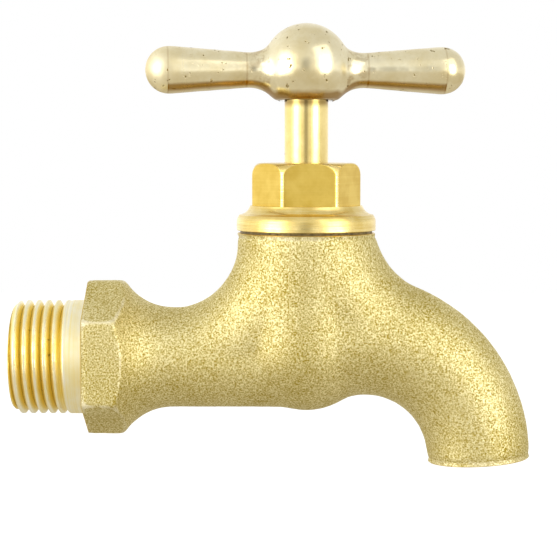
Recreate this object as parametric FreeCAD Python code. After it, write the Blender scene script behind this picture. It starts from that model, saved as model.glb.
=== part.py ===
"""Screw-down bib tap with a T-handle: one solid for every physical piece.

All sizes are in millimetres. The origin lies on the inlet axis, in the face of the
inlet hexagon that looks at the wall. X runs from the wall towards the spout, Z runs
up along the spindle and Y completes the right-handed frame.
"""

import math
import os

import FreeCAD
import Part

Vector = FreeCAD.Vector

ORIGIN = Vector(0, 0, 0)
ALONG_X = Vector(1, 0, 0)
ALONG_Y = Vector(0, 1, 0)
ALONG_Z = Vector(0, 0, 1)
QUARTER_TURN = 90
HALF_TURN = 180
FULL_TURN = 360

# Fits: a running gap between turning pieces, an assembly gap between fixed ones, the
# gap of the closed valve and the end play of the jumper under the spindle
RUNNING_GAP = 0.05
ASSEMBLY_GAP = 0.03
SEAT_GAP = 0.02
JUMPER_PLAY = 0.08
END_CLEARANCE = 0.2
OVERSHOOT = 1.0

# Place of the spindle and rise of the valve between closed and open
SPINDLE_X = 40.1
VALVE_LIFT = 4.375

# Inlet spigot: parallel pipe thread G 1/2, drawn as a plain cylinder on its crests
THREAD_RADIUS = 20.955 / 2
SPIGOT_LENGTH = 13.7
SPIGOT_CHAMFER = 0.9
INLET_BORE_RADIUS = 6.9

# Cast hexagon behind the spigot, with its corners trimmed on the parting plane
HEX_ACROSS_FLATS = 26.4
HEX_TRIMMED_HALF_HEIGHT = 14.1
HEX_STRAIGHT = 5.6

# Neck and the concave flare that leads from the hexagon into it
NECK_RADIUS = 9.22
FLARE_RADIUS = 10.6
FLARE_END_X = 15.46
NECK_OVERLAP = 2.9

# Valve chamber: upright tower on a round bowl
TOWER_RADIUS = 12.65
BOWL_CENTRE_Z = 2.85
TOWER_TOP_Z = 23.0
CHAMBER_RADIUS = 9.3

# Spout: circles between an outer and an inner arc in the plane of symmetry, keyed by
# their angle from the vertical, then the round outlet
INNER_ARC_REACH = 10.8
INNER_ARC_DROP = 18.35
INNER_ARC_RADIUS = 11.5
OUTER_ARC_SHIFT = 3.2
OUTER_ARC_RISE = 0.29
OUTER_ARC_RADIUS = 33.6
SPOUT_ANGLES = (-30, -15, 0, 15, 30, 45, 60)
OUTLET_REACH = 21.05
OUTLET_DROP = 0.4
OUTLET_TILT = 3.4
OUTLET_RADIUS = 9.3
OUTLET_BORE_RADIUS = 7.4
OUTLET_BORE_DEPTH = 6.0

# Blends: elbows of oval sections that roll into the crotches beside the tower. Each
# starts and ends a little inside the walls that it joins
NECK_BLEND_RADIUS = 12.05
SPOUT_BLEND_RADIUS = 13.1
BLEND_EMBEDDING = 0.05
BLEND_END_SINK = 0.2
BLEND_TOP_MARGIN = 0.3
BLEND_SIDE_SINK = 0.4
BLEND_SECTIONS = 7
NECK_BLEND_DEPTH = 16.4
TOWER_BLEND_DEPTH = 24.4
SPOUT_BLEND_DEPTH = 20.8
SPOUT_BLEND_WIDTH = 21.2
NECK_WIDENING_DELAY = 1.3
SECTION_POINTS = 16

# Inlet passage: (place before the spindle, height, radius) of the cast sections
# between the drilled inlet and the drilled passage below the seat
DRILL_STEP = 0.3
INLET_DRILL_END = 20.1
INLET_PASSAGE = ((16.1, -0.9, 6.0), (11.1, -2.6, 4.7))
SEAT_PASSAGE_START = 6.1
SEAT_PASSAGE_Z = -3.0
SEAT_PASSAGE_RADIUS = 4.3

# Valve seat: ring turned in the casting
SEAT_OPENING_RADIUS = 5.0
SEAT_RING_WALL = 1.4
SEAT_RING_HEIGHT = 1.1
SEAT_TOP_Z = 4.5

# Outlet passage: (angle, wall outside, wall inside, half width) of each oval section
# between the spout's arcs, as the passage climbs over the partition below the seat
OUTLET_PASSAGE = (
    (-5, 3.2, 10.7, 5.5),
    (12, 2.6, 8.0, 6.3),
    (28, 2.6, 4.5, 6.8),
    (43, 2.8, 2.9, 7.0),
)

# Fibre gasket between the tower and the bonnet's flange
GASKET_THICKNESS = 0.5
GASKET_RADIUS = 12.1

# Bonnet: heights are counted from the underside of its flange
BONNET_SPIGOT_RADIUS = 10.0
BONNET_SPIGOT_LENGTH = 8.9
BONNET_SPIGOT_CHAMFER = 0.6
FLANGE_RADIUS = 12.75
FLANGE_RIM_HEIGHT = 1.7
FLANGE_SHOULDER_HEIGHT = 2.4
FLANGE_SHOULDER_INSET = 0.12
COVE_FOOT_RADIUS = 12.25
COVE_FOOT_HEIGHT = 2.85
COVE_TOP_RADIUS = 10.3
COVE_RADIUS = 4.0
BONNET_HEX_HEIGHT = 4.5
BONNET_HEX_LENGTH = 7.8
BONNET_HEX_ACROSS_FLATS = 17.6
BONNET_HEX_TURN = 4.7
BONNET_HEX_CHAMFER_LENGTH = 2.1
BONNET_HEX_CHAMFER_KNEE = 0.45
BONNET_HEX_TOP_INSET = 0.4

# Spindle: lengths are counted up from its foot, which rests over the jumper
SPINDLE_RADIUS = 4.0
SPINDLE_LENGTH = 48.0
SPINDLE_FOOT_RADIUS = 4.6
SPINDLE_FOOT_LENGTH = 4.4
SPINDLE_THREAD_RADIUS = 6.2
SPINDLE_THREAD_LENGTH = 8.1
SPINDLE_COLLAR_RADIUS = 5.25
SPINDLE_COLLAR_LENGTH = 6.4
SPINDLE_END_CHAMFER = 0.5
RING_GROOVE_WIDTH = 1.7
RING_GROOVE_DEPTH = 1.35
RING_GROOVE_LAND = 0.25
JUMPER_SOCKET_DEPTH = 11.9

# Stem seal in a groove above the collar's bore
STEM_SEAL_WALL = 1.05
STEM_SEAL_HEIGHT = 1.3
STEM_SEAL_SHELF = 0.6

# Jumper with its washer and nut
JUMPER_STEM_RADIUS = 2.5
JUMPER_STEM_LENGTH = 11.0
JUMPER_DISC_RADIUS = 6.05
JUMPER_DISC_THICKNESS = 2.0
JUMPER_STUD_RADIUS = 1.5
JUMPER_STUD_LENGTH = 3.2
SEAT_WASHER_RADIUS = 6.0
SEAT_WASHER_THICKNESS = 3.0
WASHER_NUT_ACROSS_FLATS = 5.5
WASHER_NUT_HEIGHT = 2.4

# Handle: heights are counted from the flat underside of its hub
HANDLE_TURN = 7.0
HANDLE_DEPTH_ON_SPINDLE = 10.6
HANDLE_BORE_SPARE = 0.4
BALL_RADIUS = 8.05
BALL_CENTRE_HEIGHT = 6.3
ARM_AXIS_HEIGHT = 5.7
ARM_REACH = 29.5
ARM_END_RADIUS = 4.45
ARM_END_CENTRE = 25.2
ARM_WAIST = 11.1
ARM_WAIST_RADIUS = 3.34
ARM_BAND_RADIUS = 3.28
ARM_BAND_END = 10.3
ARM_ROOT_EDGE_RADIUS = 5.85
HANDLE_SCREW_RADIUS = 2.0
HANDLE_SCREW_LENGTH = 3.6
HANDLE_SCREW_SOCKET = 2.0
HANDLE_SCREW_SOCKET_DEPTH = 2.0

# Centres of the spout's arcs and of its outlet
INNER_ARC_CENTRE = Vector(SPINDLE_X + INNER_ARC_REACH, 0, -INNER_ARC_DROP)
OUTER_ARC_CENTRE = INNER_ARC_CENTRE + Vector(-OUTER_ARC_SHIFT, 0, OUTER_ARC_RISE)
OUTLET_CENTRE = INNER_ARC_CENTRE + Vector(OUTLET_REACH, 0, -OUTLET_DROP)

# Heights that follow from the stack of pieces, from the seat upwards
SEAT_WASHER_Z = SEAT_TOP_Z + SEAT_GAP
JUMPER_DISC_Z = SEAT_WASHER_Z + SEAT_WASHER_THICKNESS
JUMPER_TOP_Z = JUMPER_DISC_Z + JUMPER_DISC_THICKNESS
SPINDLE_FOOT_Z = JUMPER_TOP_Z + JUMPER_PLAY
SPINDLE_THREAD_Z = SPINDLE_FOOT_Z + SPINDLE_FOOT_LENGTH
SPINDLE_COLLAR_Z = SPINDLE_THREAD_Z + SPINDLE_THREAD_LENGTH
SPINDLE_COLLAR_TOP_Z = SPINDLE_COLLAR_Z + SPINDLE_COLLAR_LENGTH
SPINDLE_TOP_Z = SPINDLE_FOOT_Z + SPINDLE_LENGTH
RING_Z = SPINDLE_COLLAR_TOP_Z - RING_GROOVE_LAND - RING_GROOVE_WIDTH / 2
FLANGE_Z = TOWER_TOP_Z + GASKET_THICKNESS
BONNET_BOTTOM_Z = FLANGE_Z - BONNET_SPIGOT_LENGTH
BONNET_HEX_Z = FLANGE_Z + BONNET_HEX_HEIGHT
BONNET_TOP_Z = BONNET_HEX_Z + BONNET_HEX_LENGTH
THREAD_BORE_TOP_Z = SPINDLE_COLLAR_Z + VALVE_LIFT + END_CLEARANCE
COLLAR_BORE_TOP_Z = SPINDLE_COLLAR_TOP_Z + VALVE_LIFT + END_CLEARANCE
STEM_SEAL_Z = COLLAR_BORE_TOP_Z + STEM_SEAL_SHELF
HANDLE_Z = SPINDLE_TOP_Z - HANDLE_DEPTH_ON_SPINDLE
ARM_AXIS_Z = HANDLE_Z + ARM_AXIS_HEIGHT
BALL_CENTRE = Vector(SPINDLE_X, 0, HANDLE_Z + BALL_CENTRE_HEIGHT)
SPINDLE_AXIS = Vector(SPINDLE_X, 0, 0)


def in_plane(angle):
    """Unit vector in the plane of symmetry, turned by degrees from X towards Z."""
    return Vector(math.cos(math.radians(angle)), 0, math.sin(math.radians(angle)))


def cylinder(radius, bottom, top):
    """Upright cylinder about the spindle's axis, its seam turned to the back."""
    shape = Part.makeCylinder(radius, top - bottom, Vector(SPINDLE_X, 0, bottom), ALONG_Z)
    shape.rotate(SPINDLE_AXIS, ALONG_Z, QUARTER_TURN)
    return shape


def revolved(edges, origin, axis):
    """Solid of revolution from the edges of a closed outline."""
    return Part.Face(Part.Wire(edges)).revolve(origin, axis, FULL_TURN)


def polyline(points):
    """Straight edges of a closed outline."""
    return Part.makePolygon(list(points) + [points[0]]).Edges


def turned(outline):
    """Solid turned about the spindle's axis from (radius, height) pairs."""
    points = [Vector(SPINDLE_X + radius, 0, height) for radius, height in outline]
    return revolved(polyline(points), SPINDLE_AXIS, ALONG_Z)


def ring(radius, hole, bottom, top):
    """Flat ring about the spindle's axis."""
    return turned(((hole, bottom), (radius, bottom), (radius, top), (hole, top)))


def hexagon(across_flats, length, base, axis, turn=0):
    """Hexagonal prism that starts at a point and runs along an axis."""
    radius = across_flats / math.sqrt(3)
    corners = []
    for index in range(6):
        angle = math.radians(60 * index + turn)
        corners.append(Vector(radius * math.cos(angle), radius * math.sin(angle), 0))
    prism = Part.Face(Part.Wire(polyline(corners))).extrude(ALONG_Z * length)
    prism.Placement = FreeCAD.Placement(base, FreeCAD.Rotation(ALONG_Z, axis))
    return prism


def oval(centre, along, half_length, half_width):
    """Closed smooth section in the plane of a direction and the Y axis."""
    points = []
    for index in range(SECTION_POINTS):
        angle = 2 * math.pi * index / SECTION_POINTS
        offset = along * (-half_length * math.cos(angle))
        points.append(centre + offset + ALONG_Y * (half_width * math.sin(angle)))
    curve = Part.BSplineCurve()
    curve.interpolate(Points=points, PeriodicFlag=True)
    return Part.Wire([curve.toShape()])


def lofted(wires):
    """Smooth solid through closed sections."""
    return Part.makeLoft(wires, True, False)


def mixed(start, end, share):
    """Value that lies a share of the way from start to end."""
    return start + (end - start) * share


def eased(share):
    """Share of the way with a soft start and a soft end."""
    return share * share * (3 - 2 * share)


def blend(centre, radius, angles, depths, widths, delay=1.0):
    """Elbow whose near side rolls round an arc centre outside the casting."""
    wires = []
    for index in range(BLEND_SECTIONS):
        share = index / (BLEND_SECTIONS - 1)
        direction = in_plane(mixed(angles[0], angles[1], share))
        near = radius + BLEND_END_SINK * (1 - math.sin(math.pi * share)) ** 2
        half_length = mixed(depths[0], depths[1], share) / 2
        half_width = mixed(widths[0], widths[1], eased(share**delay)) / 2
        wires.append(oval(centre + direction * (near + half_length), direction, half_length, half_width))
    return lofted(wires)


def neck_blend():
    """Crotch between the neck and the tower."""
    centre = Vector(
        SPINDLE_X - TOWER_RADIUS - NECK_BLEND_RADIUS + BLEND_EMBEDDING,
        0,
        NECK_RADIUS + NECK_BLEND_RADIUS - BLEND_EMBEDDING,
    )
    neck_width = 2 * (NECK_RADIUS - BLEND_SIDE_SINK)
    tower_width = 2 * (TOWER_RADIUS - BLEND_SIDE_SINK)
    return blend(
        centre,
        NECK_BLEND_RADIUS,
        (-QUARTER_TURN, 0),
        (NECK_BLEND_DEPTH, TOWER_BLEND_DEPTH),
        (neck_width, tower_width),
        NECK_WIDENING_DELAY,
    )


def spout_blend():
    """Crotch between the tower and the spout; it starts just below the tower's top."""
    centre_x = SPINDLE_X + TOWER_RADIUS + SPOUT_BLEND_RADIUS - BLEND_EMBEDDING
    reach = OUTER_ARC_RADIUS + SPOUT_BLEND_RADIUS - BLEND_EMBEDDING
    run = centre_x - OUTER_ARC_CENTRE.x
    rise = math.sqrt(reach**2 - run**2)
    centre = Vector(centre_x, 0, OUTER_ARC_CENTRE.z + rise)
    drop = centre.z - TOWER_TOP_Z + BLEND_TOP_MARGIN
    first_angle = HALF_TURN + math.degrees(math.asin(drop / SPOUT_BLEND_RADIUS))
    last_angle = HALF_TURN + math.degrees(math.atan2(rise, run))
    return blend(
        centre,
        SPOUT_BLEND_RADIUS,
        (first_angle, last_angle),
        (TOWER_BLEND_DEPTH, SPOUT_BLEND_DEPTH),
        (2 * (TOWER_RADIUS - BLEND_SIDE_SINK), SPOUT_BLEND_WIDTH),
    )


def spout_section(angle, outer_wall=0, inner_wall=0, half_width=None):
    """Closed section between the spout's two arcs, less the walls; a circle by default."""
    direction = in_plane(QUARTER_TURN - angle)
    shift = INNER_ARC_CENTRE - OUTER_ARC_CENTRE
    run = shift.dot(direction)
    far = math.sqrt(run * run - shift.dot(shift) + OUTER_ARC_RADIUS**2) - run - outer_wall
    near = INNER_ARC_RADIUS + inner_wall
    middle = INNER_ARC_CENTRE + direction * ((far + near) / 2)
    half_length = (far - near) / 2
    return oval(middle, direction, half_length, half_width or half_length)


def outlet_direction():
    """Direction in which the water leaves the spout."""
    return in_plane(OUTLET_TILT - QUARTER_TURN)


def outlet_section(radius, back):
    """Circle across the spout's end, moved back up the spout."""
    across = in_plane(OUTLET_TILT)
    return oval(OUTLET_CENTRE - outlet_direction() * back, across, radius, radius)


def body_spout():
    """Outer form of the spout."""
    wires = [spout_section(angle) for angle in SPOUT_ANGLES]
    wires.append(outlet_section(OUTLET_RADIUS, 0))
    return lofted(wires)


def body_hexagon_and_neck():
    """Cast hexagon, trimmed on the parting plane, with the flare and the neck."""
    length = SPINDLE_X + NECK_OVERLAP
    prism = hexagon(HEX_ACROSS_FLATS, length, ORIGIN, ALONG_X)
    width = 2 * HEX_ACROSS_FLATS
    corner = Vector(0, -width / 2, -HEX_TRIMMED_HALF_HEIGHT)
    prism = prism.common(Part.makeBox(length, width, 2 * HEX_TRIMMED_HALF_HEIGHT, corner))
    arc_z = NECK_RADIUS + FLARE_RADIUS
    run = FLARE_END_X - HEX_STRAIGHT
    half_sweep = math.asin(run / FLARE_RADIUS) / 2
    start = Vector(HEX_STRAIGHT, 0, arc_z - math.sqrt(FLARE_RADIUS**2 - run**2))
    middle = Vector(
        FLARE_END_X - FLARE_RADIUS * math.sin(half_sweep),
        0,
        arc_z - FLARE_RADIUS * math.cos(half_sweep),
    )
    end = Vector(FLARE_END_X, 0, NECK_RADIUS)
    blank_top = Vector(0, 0, HEX_ACROSS_FLATS)
    blank_step = Vector(HEX_STRAIGHT, 0, HEX_ACROSS_FLATS)
    neck_end = Vector(length, 0, NECK_RADIUS)
    axis_end = Vector(length, 0, 0)
    edges = [
        Part.makeLine(ORIGIN, blank_top),
        Part.makeLine(blank_top, blank_step),
        Part.makeLine(blank_step, start),
        Part.Arc(start, middle, end).toShape(),
        Part.makeLine(end, neck_end),
        Part.makeLine(neck_end, axis_end),
        Part.makeLine(axis_end, ORIGIN),
    ]
    flare = revolved(edges, ORIGIN, ALONG_X)
    flare.rotate(ORIGIN, ALONG_X, HALF_TURN)
    return prism.common(flare)


def body_spigot():
    """Inlet spigot on its thread's crests, chamfered at the free end."""
    outline = (
        Vector(-SPIGOT_LENGTH, 0, 0),
        Vector(-SPIGOT_LENGTH, 0, THREAD_RADIUS - SPIGOT_CHAMFER),
        Vector(SPIGOT_CHAMFER - SPIGOT_LENGTH, 0, THREAD_RADIUS),
        Vector(0, 0, THREAD_RADIUS),
        ORIGIN,
    )
    return revolved(polyline(outline), ORIGIN, ALONG_X)


def body_outside():
    """Outer form of the casting as one solid."""
    bowl = Part.makeSphere(TOWER_RADIUS, Vector(SPINDLE_X, 0, BOWL_CENTRE_Z), ALONG_Z)
    bowl.rotate(SPINDLE_AXIS, ALONG_Z, QUARTER_TURN)
    outside = cylinder(TOWER_RADIUS, BOWL_CENTRE_Z, TOWER_TOP_Z).fuse(bowl).removeSplitter()
    for piece in (body_hexagon_and_neck(), body_spout(), neck_blend(), spout_blend(), body_spigot()):
        outside = outside.fuse(piece)
    return outside


def inlet_waterway():
    """Drilled inlet, cast narrowing and the drilled passage below the seat."""
    drill_end_x = SPINDLE_X - INLET_DRILL_END
    drilled = Part.makeCylinder(
        INLET_BORE_RADIUS,
        drill_end_x + SPIGOT_LENGTH + OVERSHOOT,
        Vector(-SPIGOT_LENGTH - OVERSHOOT, 0, 0),
        ALONG_X,
    )
    seat_start_x = SPINDLE_X - SEAT_PASSAGE_START
    first = INLET_BORE_RADIUS - DRILL_STEP
    last = SEAT_PASSAGE_RADIUS - DRILL_STEP
    wires = [oval(Vector(drill_end_x - OVERSHOOT, 0, 0), ALONG_Z, first, first)]
    for before, height, radius in INLET_PASSAGE:
        wires.append(oval(Vector(SPINDLE_X - before, 0, height), ALONG_Z, radius, radius))
    wires.append(oval(Vector(seat_start_x + OVERSHOOT, 0, SEAT_PASSAGE_Z), ALONG_Z, last, last))
    start = Vector(seat_start_x, 0, SEAT_PASSAGE_Z)
    below_seat = Part.makeCylinder(SEAT_PASSAGE_RADIUS, SEAT_PASSAGE_START, start, ALONG_X)
    end = Part.makeSphere(SEAT_PASSAGE_RADIUS, Vector(SPINDLE_X, 0, SEAT_PASSAGE_Z))
    return drilled.fuse(lofted(wires)).fuse(below_seat).fuse(end)


def seat_and_chamber():
    """Seat opening, chamber round the seat ring and the bore for the bonnet."""
    floor_z = SEAT_TOP_Z - SEAT_RING_HEIGHT
    chamber = cylinder(CHAMBER_RADIUS, floor_z, TOWER_TOP_Z + OVERSHOOT)
    chamber = chamber.cut(cylinder(SEAT_OPENING_RADIUS + SEAT_RING_WALL, floor_z, SEAT_TOP_Z))
    opening = cylinder(SEAT_OPENING_RADIUS, SEAT_PASSAGE_Z, SEAT_TOP_Z + OVERSHOOT)
    thread = cylinder(
        BONNET_SPIGOT_RADIUS + ASSEMBLY_GAP, BONNET_BOTTOM_Z - OVERSHOOT, TOWER_TOP_Z + OVERSHOOT
    )
    return chamber.fuse(opening).fuse(thread)


def outlet_waterway():
    """Cast passage over the partition and the drilled outlet."""
    wires = [spout_section(*section) for section in OUTLET_PASSAGE]
    wires.append(outlet_section(OUTLET_BORE_RADIUS - DRILL_STEP, OUTLET_BORE_DEPTH - OVERSHOOT))
    leaving = outlet_direction()
    start = OUTLET_CENTRE - leaving * OUTLET_BORE_DEPTH
    bore = Part.makeCylinder(OUTLET_BORE_RADIUS, OUTLET_BORE_DEPTH + OVERSHOOT, start, leaving)
    return lofted(wires).fuse(bore)


def make_body():
    """The casting with its waterways and its seat."""
    water = inlet_waterway().fuse(seat_and_chamber()).fuse(outlet_waterway())
    return body_outside().cut(water)


def make_gasket():
    """Fibre ring below the bonnet's flange."""
    return ring(GASKET_RADIUS, BONNET_SPIGOT_RADIUS + ASSEMBLY_GAP, TOWER_TOP_Z, FLANGE_Z)


def bonnet_blank():
    """Turned outside of the bonnet below its hexagon."""
    points = [
        Vector(SPINDLE_X + radius, 0, height)
        for radius, height in (
            (BONNET_SPIGOT_RADIUS - BONNET_SPIGOT_CHAMFER, BONNET_BOTTOM_Z),
            (BONNET_SPIGOT_RADIUS, BONNET_BOTTOM_Z + BONNET_SPIGOT_CHAMFER),
            (BONNET_SPIGOT_RADIUS, FLANGE_Z),
            (FLANGE_RADIUS, FLANGE_Z),
            (FLANGE_RADIUS, FLANGE_Z + FLANGE_RIM_HEIGHT),
            (FLANGE_RADIUS - FLANGE_SHOULDER_INSET, FLANGE_Z + FLANGE_SHOULDER_HEIGHT),
            (COVE_FOOT_RADIUS, FLANGE_Z + COVE_FOOT_HEIGHT),
        )
    ]
    cove_top = Vector(SPINDLE_X + COVE_TOP_RADIUS, 0, BONNET_HEX_Z)
    middle = (points[-1] + cove_top) / 2
    chord = cove_top - points[-1]
    inward = Vector(chord.z, 0, -chord.x).normalize()
    sag = COVE_RADIUS - math.sqrt(COVE_RADIUS**2 - (chord.Length / 2) ** 2)
    edges = Part.makePolygon(points).Edges
    edges.append(Part.Arc(points[-1], middle - inward * sag, cove_top).toShape())
    axis_top = Vector(SPINDLE_X, 0, BONNET_HEX_Z)
    axis_bottom = Vector(SPINDLE_X, 0, BONNET_BOTTOM_Z)
    edges += Part.makePolygon([cove_top, axis_top, axis_bottom, points[0]]).Edges
    return revolved(edges, SPINDLE_AXIS, ALONG_Z)


def bonnet_hexagon():
    """Hexagon of the bonnet with its turned crown."""
    base = Vector(SPINDLE_X, 0, BONNET_HEX_Z)
    prism = hexagon(BONNET_HEX_ACROSS_FLATS, BONNET_HEX_LENGTH, base, ALONG_Z, BONNET_HEX_TURN)
    half = BONNET_HEX_ACROSS_FLATS / 2
    crown = turned(
        (
            (0, BONNET_HEX_Z),
            (BONNET_HEX_ACROSS_FLATS, BONNET_HEX_Z),
            (BONNET_HEX_ACROSS_FLATS / math.sqrt(3), BONNET_TOP_Z - BONNET_HEX_CHAMFER_LENGTH),
            (half + BONNET_HEX_TOP_INSET / 2, BONNET_TOP_Z - BONNET_HEX_CHAMFER_KNEE),
            (half - BONNET_HEX_TOP_INSET, BONNET_TOP_Z),
            (0, BONNET_TOP_Z),
        )
    )
    return prism.common(crown)


def make_bonnet():
    """Headgear: spigot, flange, cove and hexagon, bored for the spindle."""
    stem = SPINDLE_RADIUS + RUNNING_GAP
    thread = SPINDLE_THREAD_RADIUS + RUNNING_GAP
    collar = SPINDLE_COLLAR_RADIUS + RUNNING_GAP
    groove = stem + STEM_SEAL_WALL
    bores = turned(
        (
            (0, BONNET_BOTTOM_Z - OVERSHOOT),
            (thread, BONNET_BOTTOM_Z - OVERSHOOT),
            (thread, THREAD_BORE_TOP_Z),
            (collar, THREAD_BORE_TOP_Z),
            (collar, COLLAR_BORE_TOP_Z),
            (stem, COLLAR_BORE_TOP_Z),
            (stem, STEM_SEAL_Z),
            (groove, STEM_SEAL_Z),
            (groove, STEM_SEAL_Z + STEM_SEAL_HEIGHT),
            (stem, STEM_SEAL_Z + STEM_SEAL_HEIGHT),
            (stem, BONNET_TOP_Z + OVERSHOOT),
            (0, BONNET_TOP_Z + OVERSHOOT),
        )
    )
    return bonnet_blank().fuse(bonnet_hexagon()).cut(bores)


def make_stem_seal():
    """Upper seal ring, held in a groove of the bonnet."""
    return ring(
        SPINDLE_RADIUS + RUNNING_GAP + STEM_SEAL_WALL - ASSEMBLY_GAP,
        SPINDLE_RADIUS + RUNNING_GAP,
        STEM_SEAL_Z + ASSEMBLY_GAP,
        STEM_SEAL_Z + STEM_SEAL_HEIGHT - ASSEMBLY_GAP,
    )


def make_spindle():
    """Spindle with thread, sealing collar, O-ring groove and jumper socket."""
    socket = JUMPER_STEM_RADIUS + RUNNING_GAP
    groove = SPINDLE_COLLAR_RADIUS - RING_GROOVE_DEPTH
    return turned(
        (
            (socket, SPINDLE_FOOT_Z),
            (SPINDLE_FOOT_RADIUS, SPINDLE_FOOT_Z),
            (SPINDLE_FOOT_RADIUS, SPINDLE_THREAD_Z),
            (SPINDLE_THREAD_RADIUS, SPINDLE_THREAD_Z),
            (SPINDLE_THREAD_RADIUS, SPINDLE_COLLAR_Z),
            (SPINDLE_COLLAR_RADIUS, SPINDLE_COLLAR_Z),
            (SPINDLE_COLLAR_RADIUS, RING_Z - RING_GROOVE_WIDTH / 2),
            (groove, RING_Z - RING_GROOVE_WIDTH / 2),
            (groove, RING_Z + RING_GROOVE_WIDTH / 2),
            (SPINDLE_COLLAR_RADIUS, RING_Z + RING_GROOVE_WIDTH / 2),
            (SPINDLE_COLLAR_RADIUS, SPINDLE_COLLAR_TOP_Z),
            (SPINDLE_RADIUS, SPINDLE_COLLAR_TOP_Z),
            (SPINDLE_RADIUS, SPINDLE_TOP_Z - SPINDLE_END_CHAMFER),
            (SPINDLE_RADIUS - SPINDLE_END_CHAMFER, SPINDLE_TOP_Z),
            (0, SPINDLE_TOP_Z),
            (0, SPINDLE_FOOT_Z + JUMPER_SOCKET_DEPTH),
            (socket, SPINDLE_FOOT_Z + JUMPER_SOCKET_DEPTH),
        )
    )


def make_spindle_ring():
    """O-ring in the groove of the spindle's collar."""
    section = (RING_GROOVE_DEPTH - ASSEMBLY_GAP) / 2
    middle = SPINDLE_COLLAR_RADIUS - section
    return Part.makeTorus(middle, section, Vector(SPINDLE_X, 0, RING_Z), ALONG_Z)


def make_jumper():
    """Disc with a stem above and a threaded stud below."""
    return turned(
        (
            (0, SEAT_WASHER_Z - JUMPER_STUD_LENGTH),
            (JUMPER_STUD_RADIUS, SEAT_WASHER_Z - JUMPER_STUD_LENGTH),
            (JUMPER_STUD_RADIUS, JUMPER_DISC_Z),
            (JUMPER_DISC_RADIUS, JUMPER_DISC_Z),
            (JUMPER_DISC_RADIUS, JUMPER_TOP_Z),
            (JUMPER_STEM_RADIUS, JUMPER_TOP_Z),
            (JUMPER_STEM_RADIUS, JUMPER_TOP_Z + JUMPER_STEM_LENGTH),
            (0, JUMPER_TOP_Z + JUMPER_STEM_LENGTH),
        )
    )


def make_seat_washer():
    """Rubber disc that closes the seat."""
    return ring(SEAT_WASHER_RADIUS, JUMPER_STUD_RADIUS + ASSEMBLY_GAP, SEAT_WASHER_Z, JUMPER_DISC_Z)


def make_washer_nut():
    """Hexagon nut below the seat washer."""
    bottom = SEAT_WASHER_Z - WASHER_NUT_HEIGHT
    base = Vector(SPINDLE_X, 0, bottom)
    prism = hexagon(WASHER_NUT_ACROSS_FLATS, WASHER_NUT_HEIGHT, base, ALONG_Z)
    hole_radius = JUMPER_STUD_RADIUS + ASSEMBLY_GAP
    return prism.cut(cylinder(hole_radius, bottom - OVERSHOOT, SEAT_WASHER_Z + OVERSHOOT))


def arm_root_radius():
    """Radius of the concave root that runs from the arm's band onto the ball."""
    reach = ARM_BAND_END**2 + ARM_BAND_RADIUS**2 - BALL_RADIUS**2
    return reach / (2 * (BALL_RADIUS - ARM_BAND_RADIUS))


def arm(side):
    """One arm of the handle, turned about its own axis."""

    def point(reach, radius):
        """Point of the arm's outline, towards the arm's own side."""
        return Vector(side * reach, 0, radius)

    cap = ARM_REACH - ARM_END_CENTRE
    eighth = math.sin(math.pi / 4)
    root = arm_root_radius()
    root_height = ARM_BAND_RADIUS + root
    sweep = math.acos((root_height - ARM_ROOT_EDGE_RADIUS) / root)
    root_middle = point(
        ARM_BAND_END - root * math.sin(sweep / 2), root_height - root * math.cos(sweep / 2)
    )
    root_end = point(ARM_BAND_END - root * math.sin(sweep), ARM_ROOT_EDGE_RADIUS)
    tip = point(ARM_REACH, 0)
    cap_middle = point(ARM_END_CENTRE + cap * eighth, ARM_END_RADIUS * eighth)
    shoulder = point(ARM_END_CENTRE, ARM_END_RADIUS)
    waist = point(ARM_WAIST, ARM_WAIST_RADIUS)
    band_start = point(ARM_WAIST, ARM_BAND_RADIUS)
    band_end = point(ARM_BAND_END, ARM_BAND_RADIUS)
    inner_top = point(0, ARM_ROOT_EDGE_RADIUS)
    edges = [
        Part.Arc(tip, cap_middle, shoulder).toShape(),
        Part.makeLine(shoulder, waist),
        Part.makeLine(waist, band_start),
        Part.makeLine(band_start, band_end),
        Part.Arc(band_end, root_middle, root_end).toShape(),
        Part.makeLine(root_end, inner_top),
        Part.makeLine(inner_top, ORIGIN),
        Part.makeLine(ORIGIN, tip),
    ]
    solid = revolved(edges, ORIGIN, ALONG_X)
    solid.translate(Vector(SPINDLE_X, 0, ARM_AXIS_Z))
    return solid


def make_handle():
    """T-handle: ball hub with two arms, bored for the spindle and its screw."""
    ball = Part.makeSphere(BALL_RADIUS, BALL_CENTRE)
    ball.rotate(SPINDLE_AXIS, ALONG_Z, QUARTER_TURN)
    shape = ball.fuse([arm(-1), arm(1)])
    side = 2 * ARM_REACH
    below = Part.makeBox(side, side, side, Vector(SPINDLE_X - side / 2, -side / 2, HANDLE_Z - side))
    bore_radius = SPINDLE_RADIUS + ASSEMBLY_GAP
    bore = cylinder(bore_radius, HANDLE_Z - OVERSHOOT, SPINDLE_TOP_Z + HANDLE_BORE_SPARE)
    hole = Part.makeCylinder(
        HANDLE_SCREW_RADIUS + ASSEMBLY_GAP,
        BALL_RADIUS + OVERSHOOT,
        Vector(SPINDLE_X, 0, ARM_AXIS_Z),
        ALONG_Y,
    )
    shape = shape.cut(below).cut(bore).cut(hole)
    shape.rotate(SPINDLE_AXIS, ALONG_Z, HANDLE_TURN)
    return shape


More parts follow.
